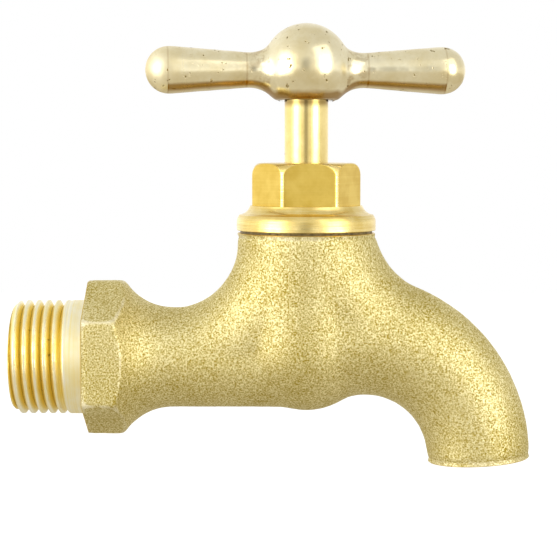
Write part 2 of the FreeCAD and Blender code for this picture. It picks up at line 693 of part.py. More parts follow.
def make_handle_screw():
    """Grub screw at the back of the hub, with a hexagon socket."""
    base = Vector(SPINDLE_X, SPINDLE_RADIUS + ASSEMBLY_GAP, ARM_AXIS_Z)
    shape = Part.makeCylinder(HANDLE_SCREW_RADIUS, HANDLE_SCREW_LENGTH, base, ALONG_Y)
    socket_base = base + ALONG_Y * (HANDLE_SCREW_LENGTH - HANDLE_SCREW_SOCKET_DEPTH)
    depth = HANDLE_SCREW_SOCKET_DEPTH + OVERSHOOT
    shape = shape.cut(hexagon(HANDLE_SCREW_SOCKET, depth, socket_base, ALONG_Y))
    shape.rotate(SPINDLE_AXIS, ALONG_Z, HANDLE_TURN)
    return shape


NODES = {
    "tap_body": make_body,
    "bonnet": make_bonnet,
    "bonnet_gasket": make_gasket,
    "stem_seal": make_stem_seal,
    "spindle": make_spindle,
    "spindle_ring": make_spindle_ring,
    "jumper": make_jumper,
    "seat_washer": make_seat_washer,
    "washer_nut": make_washer_nut,
    "handle": make_handle,
    "handle_screw": make_handle_screw,
}


def main():
    """Builds every node and writes one STEP file for each."""
    os.makedirs("parts", exist_ok=True)
    for name, make in NODES.items():
        shape = make()
        solids = shape.Solids
        if len(solids) != 1 or not shape.isValid():
            raise RuntimeError(f"{name}: {len(solids)} solids, valid {shape.isValid()}")
        solids[0].exportStep(f"parts/{name}.step")
        print(name, "volume", round(solids[0].Volume, 1))


main()
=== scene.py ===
"""Visible pieces of a brass bib tap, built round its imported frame.

Lengths in class fields and in the mesh code are millimetres. They become metres where a
finished mesh is handed over, because every object of the scene is in metres. The origin is
on the inlet axis in the wall-side face of the inlet hexagon, X runs towards the spout and
Z runs up along the spindle.
"""

import logging
import math
from dataclasses import dataclass
from enum import Enum
from functools import partial
from typing import Callable, Optional, Sequence, Union

import bmesh
import bpy
import numpy as np
from mathutils import Matrix, Vector

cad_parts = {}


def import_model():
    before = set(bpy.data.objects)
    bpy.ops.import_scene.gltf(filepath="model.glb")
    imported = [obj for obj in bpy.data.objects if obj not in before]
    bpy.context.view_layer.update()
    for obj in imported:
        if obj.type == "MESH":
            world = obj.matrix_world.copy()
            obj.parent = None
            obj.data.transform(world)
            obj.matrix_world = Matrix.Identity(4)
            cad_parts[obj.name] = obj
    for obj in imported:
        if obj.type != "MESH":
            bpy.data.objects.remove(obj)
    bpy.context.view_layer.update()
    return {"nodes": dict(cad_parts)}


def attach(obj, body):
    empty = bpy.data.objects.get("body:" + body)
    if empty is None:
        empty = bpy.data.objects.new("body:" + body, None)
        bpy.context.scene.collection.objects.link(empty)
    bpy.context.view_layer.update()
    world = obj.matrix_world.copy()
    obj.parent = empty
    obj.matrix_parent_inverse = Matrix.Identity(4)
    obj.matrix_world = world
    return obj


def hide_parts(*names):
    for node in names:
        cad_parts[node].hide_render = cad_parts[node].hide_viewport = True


LOG = logging.getLogger("tap")
FRAME_WIDTH = 557
MM = 0.001
FULL_TURN = 2 * math.pi
HALF = 0.5
SHARP_ANGLE = math.radians(38)
# Points closer than this become one, in a copy of a node and in a shell made of rings.
NODE_MERGE, SHELL_MERGE = 0.002, 0.0005
# The spindle's axis stands this far from the wall-side face of the hexagon.
SPINDLE_X = 40.1
EDGE_ATTRIBUTE = "standing_out"
WHITE = "#ffffff"
FULL_BYTE = 255
SRGB_KNEE, SRGB_SLOPE, SRGB_OFFSET, SRGB_POWER = 0.04045, 12.92, 0.055, 2.4
# Sockets of the mix node by number, because its socket names repeat for each type of data.
FACTOR, FLOAT_A, FLOAT_B, COLOUR_A, COLOUR_B = 0, 2, 3, 6, 7

Pair = tuple[float, float]
Edges = list[bmesh.types.BMEdge]
Rule = Callable[[Vector], Vector]
Feed = Union[bpy.types.Node, bpy.types.NodeSocket, float, Sequence[float]]
Adder = Callable[..., bpy.types.Node]


class Body(Enum):
    """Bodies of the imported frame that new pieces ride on."""

    CASING = "casing"
    TURNING = "turning_spindle"


class Slot(Enum):
    """Material slots of the record."""

    CAST = "cast_brass"
    TURNED = "turned_brass"
    POLISHED = "polished_brass"
    HANDLE = "handle_brass"


class Axis(Enum):
    """Direction along which a machined surface changes from tool mark to tool mark."""

    X = (1.0, 0.0, 0.0)
    Z = (0.0, 0.0, 1.0)


class Kind(Enum):
    """Kinds of node that the trees are made of."""

    ADD_SHADER = "ShaderNodeAddShader"
    ATTRIBUTE = "ShaderNodeAttribute"
    BACKGROUND = "ShaderNodeBackground"
    BUMP = "ShaderNodeBump"
    COMBINE = "ShaderNodeCombineXYZ"
    COORDINATES = "ShaderNodeTexCoord"
    DIFFUSE = "ShaderNodeBsdfDiffuse"
    EMISSION = "ShaderNodeEmission"
    GEOMETRY = "ShaderNodeNewGeometry"
    GRID = "GeometryNodeMeshGrid"
    GROUP_INPUT = "NodeGroupInput"
    GROUP_OUTPUT = "NodeGroupOutput"
    LIGHT_PATH = "ShaderNodeLightPath"
    MAPPING = "ShaderNodeMapping"
    MATERIAL_OUTPUT = "ShaderNodeOutputMaterial"
    MATHS = "ShaderNodeMath"
    MERGE = "GeometryNodeMergeByDistance"
    MIX = "ShaderNodeMix"
    MIX_SHADER = "ShaderNodeMixShader"
    NOISE = "ShaderNodeTexNoise"
    NORMAL = "GeometryNodeInputNormal"
    POSITION = "GeometryNodeInputPosition"
    PRINCIPLED = "ShaderNodeBsdfPrincipled"
    RANGE = "ShaderNodeMapRange"
    REALIZE = "GeometryNodeRealizeInstances"
    SEPARATE = "ShaderNodeSeparateXYZ"
    SET_MATERIAL = "GeometryNodeSetMaterial"
    SET_POSITION = "GeometryNodeSetPosition"
    TRANSPARENT = "ShaderNodeBsdfTransparent"
    VECTOR_MATHS = "ShaderNodeVectorMath"
    WORLD_OUTPUT = "ShaderNodeOutputWorld"


def on_axis(height: float) -> Vector:
    """Place on the spindle's axis at a height."""
    return Vector((SPINDLE_X, 0.0, height))


def linear(code: str) -> tuple[float, ...]:
    """Turns an sRGB hex colour to linear light.

    Args:
        code: Colour as six hex digits after a hash sign.

    Returns:
        Red, green, blue and an alpha of one.
    """
    light = []
    for byte in bytes.fromhex(code.removeprefix("#")):
        part = byte / FULL_BYTE
        curved = ((part + SRGB_OFFSET) / (1 + SRGB_OFFSET)) ** SRGB_POWER
        light.append(part / SRGB_SLOPE if part <= SRGB_KNEE else curved)
    return (*light, 1.0)


def add_node(
    tree: bpy.types.NodeTree, kind: Kind, feeds: Union[dict, Sequence[Feed]] = (), **settings
) -> bpy.types.Node:
    """Adds a node with its settings, its values and its links.

    Args:
        tree: Tree that gets the node.
        kind: Kind of the node.
        feeds: What each input gets, in the order of the inputs or by their names or numbers.
            It is a value, an output, or a node, whose first output in use feeds the input.
        **settings: Properties of the node itself.

    Returns:
        The new node.
    """
    node = tree.nodes.new(kind.value)
    for name, value in settings.items():
        setattr(node, name, value)
    for name, feed in feeds.items() if isinstance(feeds, dict) else enumerate(feeds):
        if isinstance(feed, bpy.types.Node):
            feed = next(output for output in feed.outputs if output.enabled)
        if isinstance(feed, bpy.types.NodeSocket):
            tree.links.new(feed, node.inputs[name])
        else:
            node.inputs[name].default_value = feed
    return node


def bare_material(name: str) -> bpy.types.Material:
    """Makes a material whose tree is empty.

    Args:
        name: Name of the material.

    Returns:
        The material.
    """
    material = bpy.data.materials.new(name)
    material.use_nodes = True
    material.node_tree.nodes.clear()
    return material


@dataclass(frozen=True)
class Grain:
    """Random pattern of a real size, and the part of the noise's range that it spreads."""

    size: float
    octaves: float
    low: float
    high: float
    harshness: float = 0.5

    def noise(self, place: Feed) -> dict[str, Feed]:
        """Feeds of the noise node, whose scale comes from the size in millimetres."""
        scale = 1 / (self.size * MM)
        return {"Vector": place, "Scale": scale, "Detail": self.octaves, "Roughness": self.harshness}

    def spread(self, noise: Feed, start: float = 0.0, end: float = 1.0) -> list[Feed]:
        """Feeds of the range node that spreads the noise from a start to an end."""
        return [noise, self.low, self.high, start, end]


@dataclass
class Surface:
    """What a finish gives its shader: coats over its deep colour, gloss and relief."""

    coats: list[tuple[bpy.types.Node, str]]
    roughness: bpy.types.Node
    relief: Optional[bpy.types.Node] = None


@dataclass(frozen=True)
class Finish:
    """Base of the finishes: a Principled shader that a subclass's surface feeds."""

    name: str
    pale: str
    deep: str
    metallic: float = 1.0

    def build(self) -> bpy.types.Material:
        """Makes the material.

        Returns:
            The finished material.
        """
        material = bare_material(self.name)
        add = partial(add_node, material.node_tree)
        surface = self.surface(add, add(Kind.COORDINATES).outputs["Object"])
        colour = linear(self.deep)
        for share, code in surface.coats:
            layers = {FACTOR: share, COLOUR_A: colour, COLOUR_B: linear(code)}
            colour = add(Kind.MIX, layers, data_type="RGBA")
        feeds = {"Base Color": colour, "Roughness": surface.roughness, "Metallic": self.metallic}
        if surface.relief is not None:
            feeds["Normal"] = surface.relief
        shader = add(Kind.PRINCIPLED, feeds)
        add(Kind.MATERIAL_OUTPUT, {"Surface": shader})
        return material

    def surface(self, add: Adder, place: bpy.types.NodeSocket) -> Surface:
        """Adds the nodes of the finish, which each subclass does in its own way."""
        raise NotImplementedError


@dataclass(frozen=True)
class SandCastBrass(Finish):
    """Brass from a sand mould, shot-blasted."""

    # It gives the eye a matte skin of pale sparks on olive pits, rubbed pale where an edge
    # stands out. Real grit is about 0.15 mm across, and is drawn twice as coarse to show.
    pale: str = "#f6ebb6"
    deep: str = "#a9921e"
    grit: Grain = Grain(size=0.3, octaves=2.0, low=0.34, high=0.66, harshness=0.6)
    grit_height: float = 0.09
    patch: Grain = Grain(size=11.0, octaves=3.0, low=0.3, high=0.7)
    patch_drift: float = 0.1
    smoothest: float = 0.48
    roughest: float = 0.7
    worn: str = "#fff8dc"
    worn_heights: Pair = (0.09, 0.14)
    worn_share: float = 0.75
    rubbing: Grain = Grain(size=5.0, octaves=3.0, low=0.42, high=0.62)

    def surface(self, add: Adder, place: bpy.types.NodeSocket) -> Surface:
        """Adds the nodes of the blasted grain and of its worn edges.

        Args:
            add: Adds a node to the material's tree.
            place: Place on the piece.

        Returns:
            The surface.
        """
        grains = (self.grit, self.patch, self.rubbing)
        grit, patch, rubbing = (add(Kind.NOISE, grain.noise(place)) for grain in grains)
        height = add(Kind.RANGE, self.grit.spread(grit))
        drift = add(Kind.RANGE, self.patch.spread(patch, -self.patch_drift, self.patch_drift))
        share = add(Kind.MATHS, [height, drift], operation="ADD", use_clamp=True)
        attribute = {"attribute_name": EDGE_ATTRIBUTE, "attribute_type": "GEOMETRY"}
        standing = add(Kind.ATTRIBUTE, **attribute).outputs["Fac"]
        edge = add(Kind.RANGE, [standing, *self.worn_heights, 0.0, self.worn_share])
        broken = add(Kind.RANGE, self.rubbing.spread(rubbing))
        worn = add(Kind.MATHS, [edge, broken], operation="MULTIPLY")
        return Surface(
            [(share, self.pale), (worn, self.worn)],
            add(Kind.RANGE, [height, 0.0, 1.0, self.roughest, self.smoothest]),
            add(Kind.BUMP, {"Height": grit, "Distance": self.grit_height * MM}),
        )


@dataclass(frozen=True)
class MachinedBrass(Finish):
    """Free-cutting brass off the lathe or from the drawing die."""

    # It gives the eye a golden satin with fine lines across the axis. A fine feed leaves a
    # line every 0.1 mm, and they are drawn twice as coarse to show.
    pale: str = "#ecd27a"
    deep: str = "#cda843"
    axis: Axis = Axis.Z
    line: Grain = Grain(size=0.22, octaves=2.0, low=0.3, high=0.7)
    line_stretch: float = 0.012
    line_height: float = 0.0035
    line_share: float = 0.5
    stain: Grain = Grain(size=5.0, octaves=4.0, low=0.38, high=0.62, harshness=0.6)
    smoothest: float = 0.2
    roughest: float = 0.34

    def surface(self, add: Adder, place: bpy.types.NodeSocket) -> Surface:
        """Adds the nodes of the tool lines and of the faint stains.

        Args:
            add: Adds a node to the material's tree.
            place: Place on the piece.

        Returns:
            The surface.
        """
        scale = [part or self.line_stretch for part in self.axis.value]
        along = add(Kind.MAPPING, {"Vector": place, "Scale": scale})
        lines = add(Kind.NOISE, self.line.noise(along))
        stain = add(Kind.NOISE, self.stain.noise(place))
        both = {FACTOR: self.line_share, FLOAT_A: stain, FLOAT_B: lines}
        mixed = add(Kind.MIX, both, data_type="FLOAT")
        share = add(Kind.RANGE, self.stain.spread(mixed))
        return Surface(
            [(share, self.pale)],
            add(Kind.RANGE, self.line.spread(lines, self.roughest, self.smoothest)),
            add(Kind.BUMP, {"Height": lines, "Distance": self.line_height * MM}),
        )


@dataclass(frozen=True)
class ThreadBrass(MachinedBrass):
    """Cut pipe thread that has been screwed in and out."""

    # It gives the eye crests worn pale, and roots painted more golden as painted shade in the
    # grooves, with a dark line painted along their bottom as painted shade and specks of grime.
    axis: Axis = Axis.X
    pale: str = "#fffae0"
    deep: str = "#fbeeb4"
    # Painted shade: colour of the roots, more golden and darker towards the bottom of the grooves.
    root: str = "#f9dd66"
    root_roughness: float = 0.45
    # Colour of the specks of grime and of the painted shade line along the bottom of the roots.
    grime_and_shade: str = "#6b4a1c"
    shade_line_start: float = 0.93
    shade_line_share: float = 0.45
    crest_radius: float = 10.3
    root_radius: float = 9.34
    speck: Grain = Grain(size=0.9, octaves=4.0, low=0.66, high=0.71, harshness=0.6)
    speck_gathering: float = 3.0
    smoothest: float = 0.3
    roughest: float = 0.46

    def surface(self, add: Adder, place: bpy.types.NodeSocket) -> Surface:
        """Adds what changes from the crests down to the roots.

        Args:
            add: Adds a node to the material's tree.
            place: Place on the piece.

        Returns:
            The surface.
        """
        surface = super().surface(add, place)
        across = add(Kind.VECTOR_MATHS, [place, (0.0, 1.0, 1.0)], operation="MULTIPLY")
        radius = add(Kind.VECTOR_MATHS, [across], operation="LENGTH")
        depth = add(Kind.RANGE, [radius, self.crest_radius * MM, self.root_radius * MM])
        speck = add(Kind.NOISE, self.speck.noise(place))
        dirt = add(Kind.RANGE, self.speck.spread(speck))
        bottom = add(Kind.MATHS, [depth, self.speck_gathering], operation="POWER")
        # Painted shade: a dark line along the bottom of the roots, added to the specks of grime.
        line = add(Kind.RANGE, [depth, self.shade_line_start, 1.0, 0.0, self.shade_line_share])
        grime_and_shade = [dirt, bottom, line]
        share = add(Kind.MATHS, grime_and_shade, operation="MULTIPLY_ADD", use_clamp=True)
        # Painted shade: the roots turn more golden and darker with depth.
        surface.coats += [(depth, self.root), (share, self.grime_and_shade)]
        gloss = {FACTOR: depth, FLOAT_A: surface.roughness, FLOAT_B: self.root_roughness}
        surface.roughness = add(Kind.MIX, gloss, data_type="FLOAT")
        return surface


@dataclass(frozen=True)
class PolishedBrass(Finish):
    """Brass polished on a wheel."""

    # It gives the eye a pale gloss with clouded patches and a few dark pits. A brown band of
    # painted shade lies at one height, where the handle's hub meets the stem.
    pale: str = "#ebe0b4"
    deep: str = "#c9b982"
    cloud: Grain = Grain(size=6.0, octaves=5.0, low=0.34, high=0.66, harshness=0.62)
    cloud_gloss: Pair = (0.3, 0.7)
    pit: str = "#8c7843"
    pits: Grain = Grain(size=1.0, octaves=3.0, low=0.7, high=0.74, harshness=0.55)
    pit_depth: float = 0.04
    pit_strength: float = 0.8
    pit_dullness: float = 0.3
    # Painted shade: a brown band at the height where the hub meets the stem.
    painted_shade: str = "#7b5a22"
    painted_shade_height: float = 46.9
    painted_shade_reach: float = 1.3
    painted_shade_share: float = 0.75
    smoothest: float = 0.13
    roughest: float = 0.27

    def surface(self, add: Adder, place: bpy.types.NodeSocket) -> Surface:
        """Adds the nodes of the clouds, the pits and the painted shade where the hub meets the stem.

        Args:
            add: Adds a node to the material's tree.
            place: Place on the piece.

        Returns:
            The surface.
        """
        grains = (self.cloud, self.pits)
        cloud, grain = (add(Kind.NOISE, pattern.noise(place)) for pattern in grains)
        share = add(Kind.RANGE, self.cloud.spread(cloud))
        pits = add(Kind.RANGE, self.pits.spread(grain))
        height = add(Kind.SEPARATE, [place]).outputs["Z"]
        # Painted shade: brown at the height where the hub meets the stem, fading within its reach.
        above = add(Kind.MATHS, [height, self.painted_shade_height * MM], operation="SUBTRACT")
        apart = add(Kind.MATHS, [above], operation="ABSOLUTE")
        fading = [apart, 0.0, self.painted_shade_reach * MM, self.painted_shade_share, 0.0]
        painted_shade = add(Kind.RANGE, fading, interpolation_type="SMOOTHSTEP")
        sheen = add(Kind.RANGE, [cloud, *self.cloud_gloss, self.roughest, self.smoothest])
        hollow = add(Kind.MATHS, [pits, -1.0], operation="MULTIPLY")
        relief = {"Height": hollow, "Distance": self.pit_depth * MM, "Strength": self.pit_strength}
        return Surface(
            [(share, self.pale), (pits, self.pit), (painted_shade, self.painted_shade)],
            add(Kind.MATHS, [pits, self.pit_dullness, sheen], operation="MULTIPLY_ADD"),
            add(Kind.BUMP, relief),
        )


@dataclass(frozen=True)
class HandleBrass(PolishedBrass):
    """Cast handle, turned and polished by hand."""

    # It gives the eye a pale satin. Tool rings cross its arms, the roots of the arms are stained,
    # faces that look down get a painted dark reflection as painted shade, and the tip of the
    # left arm is dulled by use.
    pale: str = "#faf0cc"
    deep: str = "#e8d8a8"
    pits: Grain = Grain(size=1.0, octaves=3.0, low=0.66, high=0.7, harshness=0.55)
    # Colour of the tool rings, of the stains at the arms' roots and of the painted shade under the
    # arms.
    stain: str = "#9a6e16"
    smoothest: float = 0.2
    roughest: float = 0.27
    turn: float = 7.0
    rings: Pair = (11.1, 25.4)
    ring_width: float = 0.17
    ring_share: float = 0.2
    hub: float = 7.0
    root: Pair = (8.5, 14.0)
    root_share: float = 0.42
    blotch: Grain = Grain(size=1.6, octaves=4.0, low=0.45, high=0.62, harshness=0.65)
    # Painted shade, a dark reflection painted on faces that look down: how far a face looks
    # down where it starts, is full, gets thin and is faintest.
    underside_shade: tuple[float, float, float, float] = (-0.52, -0.64, -0.82, -0.94)
    underside_shade_share: float = 0.8
    faintest_shade_share: float = 0.25
    dulled: Pair = (-22.0, -27.0)
    dulled_roughness: float = 0.5

    def surface(self, add: Adder, place: bpy.types.NodeSocket) -> Surface:
        """Adds the nodes of the rings, the stains, the painted shade under the arms and the dulled tip.

        Args:
            add: Adds a node to the material's tree.
            place: Place on the piece.

        Returns:
            The surface.
        """
        surface = super().surface(add, place)
        offset = add(Kind.VECTOR_MATHS, [place, on_axis(0) * MM], operation="SUBTRACT")
        turn = math.radians(self.turn)
        arm = (math.cos(turn), math.sin(turn), 0.0)
        along = add(Kind.VECTOR_MATHS, [offset, arm], operation="DOT_PRODUCT")
        reach = add(Kind.MATHS, [along], operation="ABSOLUTE")
        grooves = [
            add(Kind.MATHS, [reach, ring * MM, self.ring_width * MM], operation="COMPARE")
            for ring in self.rings
        ]
        groove = add(Kind.MATHS, grooves, operation="MAXIMUM")
        near = add(Kind.RANGE, [reach, *(edge * MM for edge in self.root), 1.0, 0.0])
        outside = add(Kind.MATHS, [reach, self.hub * MM], operation="GREATER_THAN")
        blotch = add(Kind.NOISE, self.blotch.noise(place))
        patches = add(Kind.RANGE, self.blotch.spread(blotch, 0.0, self.root_share))
        # Painted shade: a dark reflection painted on faces of the arms and hub that look down.
        normal = add(Kind.GEOMETRY).outputs["Normal"]
        facing = add(Kind.SEPARATE, [normal]).outputs["Z"]
        start, full, thin, faintest = self.underside_shade
        painted_shade = add(Kind.RANGE, [facing, start, full, 0.0, self.underside_shade_share])
        shade_fading = add(Kind.RANGE, [facing, thin, faintest, 1.0, self.faintest_shade_share])
        arms = add(Kind.MATHS, [reach, self.rings[-1] * MM], operation="LESS_THAN")
        stains_and_shade = []
        for first, second, third in ((near, outside, patches), (painted_shade, shade_fading, arms)):
            both = add(Kind.MATHS, [first, second], operation="MULTIPLY")
            stains_and_shade.append(add(Kind.MATHS, [both, third], operation="MULTIPLY"))
        darkest = add(Kind.MATHS, stains_and_shade, operation="MAXIMUM")
        marks = [groove, self.ring_share, darkest]
        share = add(Kind.MATHS, marks, operation="MULTIPLY_ADD", use_clamp=True)
        surface.coats.append((share, self.stain))
        tip = add(Kind.RANGE, [along, *(edge * MM for edge in self.dulled)])
        gloss = {FACTOR: tip, FLOAT_A: surface.roughness, FLOAT_B: self.dulled_roughness}
        surface.roughness = add(Kind.MIX, gloss, data_type="FLOAT")
        return surface


@dataclass(frozen=True)
class PlainFinish(Finish):
    """Pressed fibre, moulded rubber or turned steel of a small piece."""

    # It gives the eye one colour, broken by a fine mottle: dull brown fibre, black rubber
    # with a faint sheen, or grey steel.
    metallic: float = 0.0
    mottle: Grain = Grain(size=0.8, octaves=4.0, low=0.35, high=0.65)
    smoothest: float = 0.45
    roughest: float = 0.65

    def surface(self, add: Adder, place: bpy.types.NodeSocket) -> Surface:
        """Adds the nodes of the mottle.

        Args:
            add: Adds a node to the material's tree.
            place: Place on the piece.

        Returns:
            The surface.
        """
        mottle = add(Kind.NOISE, self.mottle.noise(place))
        share = add(Kind.RANGE, self.mottle.spread(mottle))
        roughness = add(Kind.RANGE, [share, 0.0, 1.0, self.roughest, self.smoothest])
        return Surface([(share, self.pale)], roughness)


def object_from(
    name: str, mesh: bmesh.types.BMesh, scale: float = 1.0, materials: Sequence[bpy.types.Material] = ()
) -> bpy.types.Object:
    """Puts a bmesh into a linked object.

    Args:
        name: Name of the object.
        mesh: Mesh that is freed afterwards.
        scale: Factor on its coordinates.
        materials: Materials of its slots.

    Returns:
        The object.
    """
    data = bpy.data.meshes.new(name)
    mesh.to_mesh(data)
    mesh.free()
    data.transform(Matrix.Scale(scale, 4))
    for material in materials:
        data.materials.append(material)
    piece = bpy.data.objects.new(name, data)
    bpy.context.scene.collection.objects.link(piece)
    return piece


def taken(work: bpy.types.Object) -> bmesh.types.BMesh:
    """Takes the mesh out of a working object.

    Args:
        work: Object that is removed.

    Returns:
        Its mesh.
    """
    mesh = bmesh.new()
    mesh.from_mesh(work.data)
    bpy.data.objects.remove(work)
    return mesh


def evaluated(piece: bpy.types.Object) -> bpy.types.Mesh:
    """Applies an object's modifiers and removes them.

    Args:
        piece: Object with live modifiers.

    Returns:
        The plain mesh that they make.
    """
    graph = bpy.context.evaluated_depsgraph_get()
    mesh = bpy.data.meshes.new_from_object(piece.evaluated_get(graph))
    piece.modifiers.clear()
    return mesh


def reskinned(node: bpy.types.Object, voxel: float) -> bpy.types.Object:
    """Puts an even quad skin over a copy of a node.

    Args:
        node: CAD node, whose loose triangles are joined in the copy.
        voxel: Size of the new faces in millimetres.

    Returns:
        A working object in millimetres.
    """
    mesh = bmesh.new()
    mesh.from_mesh(node.data)
    bmesh.ops.transform(mesh, matrix=Matrix.Scale(1 / MM, 4), verts=mesh.verts)
    bmesh.ops.remove_doubles(mesh, verts=mesh.verts, dist=NODE_MERGE)
    piece = object_from("work", mesh)
    modifier = piece.modifiers.new("skin", "REMESH")
    modifier.mode = "VOXEL"
    modifier.voxel_size = voxel
    piece.data = evaluated(piece)
    return piece


def points_of(mesh: bpy.types.Mesh, name: str) -> np.ndarray:
    """Reads a vector of each of a mesh's points.

    Args:
        mesh: Mesh to read.
        name: Name of the vector: co for the place, or normal.

    Returns:
        The vectors, one row each.
    """
    values = np.empty(len(mesh.vertices) * 3)
    mesh.vertices.foreach_get(name, values)
    return values.reshape(-1, 3)


def relaxed(mesh: bpy.types.Mesh, share: np.ndarray, rounds: int) -> np.ndarray:
    """Finds where a mesh's points come to by moving towards their neighbours.

    Args:
        mesh: Mesh that stays as it is.
        share: Share of the way that each point moves in one round.
        rounds: Number of rounds.

    Returns:
        The new places, one row each.
    """
    place = points_of(mesh, "co")
    count = len(place)
    ends = np.empty(len(mesh.edges) * 2, dtype=np.int32)
    mesh.edges.foreach_get("vertices", ends)
    first, second = ends[0::2], ends[1::2]
    neighbours = np.bincount(ends, minlength=count)
    for _ in range(rounds):
        total = np.empty_like(place)
        for axis in range(3):
            total[:, axis] = np.bincount(first, place[second, axis], count)
            total[:, axis] += np.bincount(second, place[first, axis], count)
        place = place + share[:, None] * (total / neighbours[:, None] - place)
    return place


def relax(mesh: bpy.types.Mesh, share: np.ndarray, rounds: int) -> None:
    """Rounds a mesh's creases by moving its points towards their neighbours."""
    mesh.vertices.foreach_set("co", relaxed(mesh, share, rounds).ravel())
    mesh.update()


def mark_edges(mesh: bpy.types.Mesh, rounds: int) -> None:
    """Writes down how far each point stands out over its surroundings.

    Args:
        mesh: Mesh that gets the attribute for its worn edges.
        rounds: Rounds of levelling that the points are compared with.
    """
    level = relaxed(mesh, np.full(len(mesh.vertices), HALF), rounds)
    height = ((points_of(mesh, "co") - level) * points_of(mesh, "normal")).sum(axis=1)
    attribute = mesh.attributes.new(EDGE_ATTRIBUTE, "FLOAT", "POINT")
    attribute.data.foreach_set("value", height)


def extruded(mesh: bmesh.types.BMesh, edges: Edges, rule: Rule, slot: int = 0) -> Edges:
    """Draws a loop of edges out to new places.

    Args:
        mesh: Mesh that is changed.
        edges: Boundary edges.
        rule: New place for each old one.
        slot: Material slot of the new faces.

    Returns:
        The edges of the new boundary.
    """
    made = bmesh.ops.extrude_edge_only(mesh, edges=edges)["geom"]
    for item in made:
        if isinstance(item, bmesh.types.BMVert):
            item.co = rule(item.co)
        elif isinstance(item, bmesh.types.BMFace):
            item.material_index = slot
    return [item for item in made if isinstance(item, bmesh.types.BMEdge) and item.is_boundary]


@dataclass(frozen=True)
class CutEnd:
    """Flat machined end of a casting, with a round hole and perhaps a round outside."""

    centre: Vector
    outward: Vector
    depth: float
    hole: float
    outside: Optional[float] = None
    chamfer: float = 0.12

    def across(self, place: Vector) -> Vector:
        """Way from the end's axis to a place."""
        offset = place - self.centre
        return offset - self.outward * offset.dot(self.outward)

    def moved(self, place: Vector, below: float, radius: Optional[float]) -> Vector:
        """Moves a place to a depth below the end face.

        Args:
            place: Place that is moved.
            below: The depth.
            radius: Radius that it moves to, or None to keep its own.

        Returns:
            The new place.
        """
        across = self.across(place)
        if radius is not None:
            across = across.normalized() * radius
        return self.centre + across - self.outward * below

    def make(self, mesh: bmesh.types.BMesh, slot: int) -> None:
        """Cuts the end back and closes it with crisp edges and a flat face.

        Args:
            mesh: Mesh that is changed.
            slot: Material slot of the machined faces.
        """
        bmesh.ops.bisect_plane(
            mesh,
            geom=[*mesh.verts, *mesh.edges, *mesh.faces],
            plane_co=self.centre - self.outward * self.depth,
            plane_no=self.outward,
            clear_outer=True,
        )
        border = [edge for edge in mesh.edges if edge.is_boundary]
        reach = [self.across(edge.verts[0].co).length for edge in border]
        limit = sum(reach) / len(border)
        inner = [edge for edge, radius in zip(border, reach) if radius < limit]
        outer = [edge for edge, radius in zip(border, reach) if radius >= limit]
        wide = self.hole + self.chamfer
        for below, radius in ((self.depth, self.hole), (self.chamfer, self.hole), (0, wide)):
            inner = extruded(mesh, inner, lambda place: self.moved(place, below, radius), slot)
        lip = None if self.outside is None else self.outside - self.chamfer
        outer = extruded(mesh, outer, lambda place: self.moved(place, self.chamfer, self.outside))
        outer = extruded(mesh, outer, lambda place: self.moved(place, 0, lip), slot)
        for face in bmesh.ops.bridge_loops(mesh, edges=inner + outer)["faces"]:
            face.material_index = slot


class RuleTree:
    """Geometry Nodes tree with named inputs, run once on an object."""

    def __init__(self, name: str, sizes: dict[str, float]) -> None:
        """Makes the tree's sockets.

        Args:
            name: Name of the tree.
            sizes: Value of each named input.
        """
        self.sizes = sizes
        self.tree = bpy.data.node_groups.new(name, "GeometryNodeTree")
        interface = self.tree.interface
        interface.new_socket("Geometry", in_out="INPUT", socket_type="NodeSocketGeometry")
        interface.new_socket("Geometry", in_out="OUTPUT", socket_type="NodeSocketGeometry")
        for label in sizes:
            interface.new_socket(label, in_out="INPUT", socket_type="NodeSocketFloat")
        interface.new_socket("Finish", in_out="INPUT", socket_type="NodeSocketMaterial")
        self.add = partial(add_node, self.tree)
        self.inputs = self.add(Kind.GROUP_INPUT).outputs

    def close(self, geometry: bpy.types.Node) -> None:
        """Ends the tree in Realize Instances and Set Material.

        Args:
            geometry: Node that makes the geometry.
        """
        feeds = {"Geometry": self.add(Kind.REALIZE, [geometry]), "Material": self.inputs["Finish"]}
        self.add(Kind.GROUP_OUTPUT, [self.add(Kind.SET_MATERIAL, feeds)])

    def run(self, piece: bpy.types.Object, finish: bpy.types.Material) -> None:
        """Replaces an object's mesh by the tree's result.

        Args:
            piece: Object that is changed.
            finish: Material of the result.
        """
        modifier = piece.modifiers.new(self.tree.name, "NODES")
        modifier.node_group = self.tree
        values = {**self.sizes, "Finish": finish}
        for socket in self.tree.interface.items_tree:
            if socket.in_out == "INPUT" and socket.name in values:
                modifier[socket.identifier] = values[socket.name]
        piece.data = evaluated(piece)


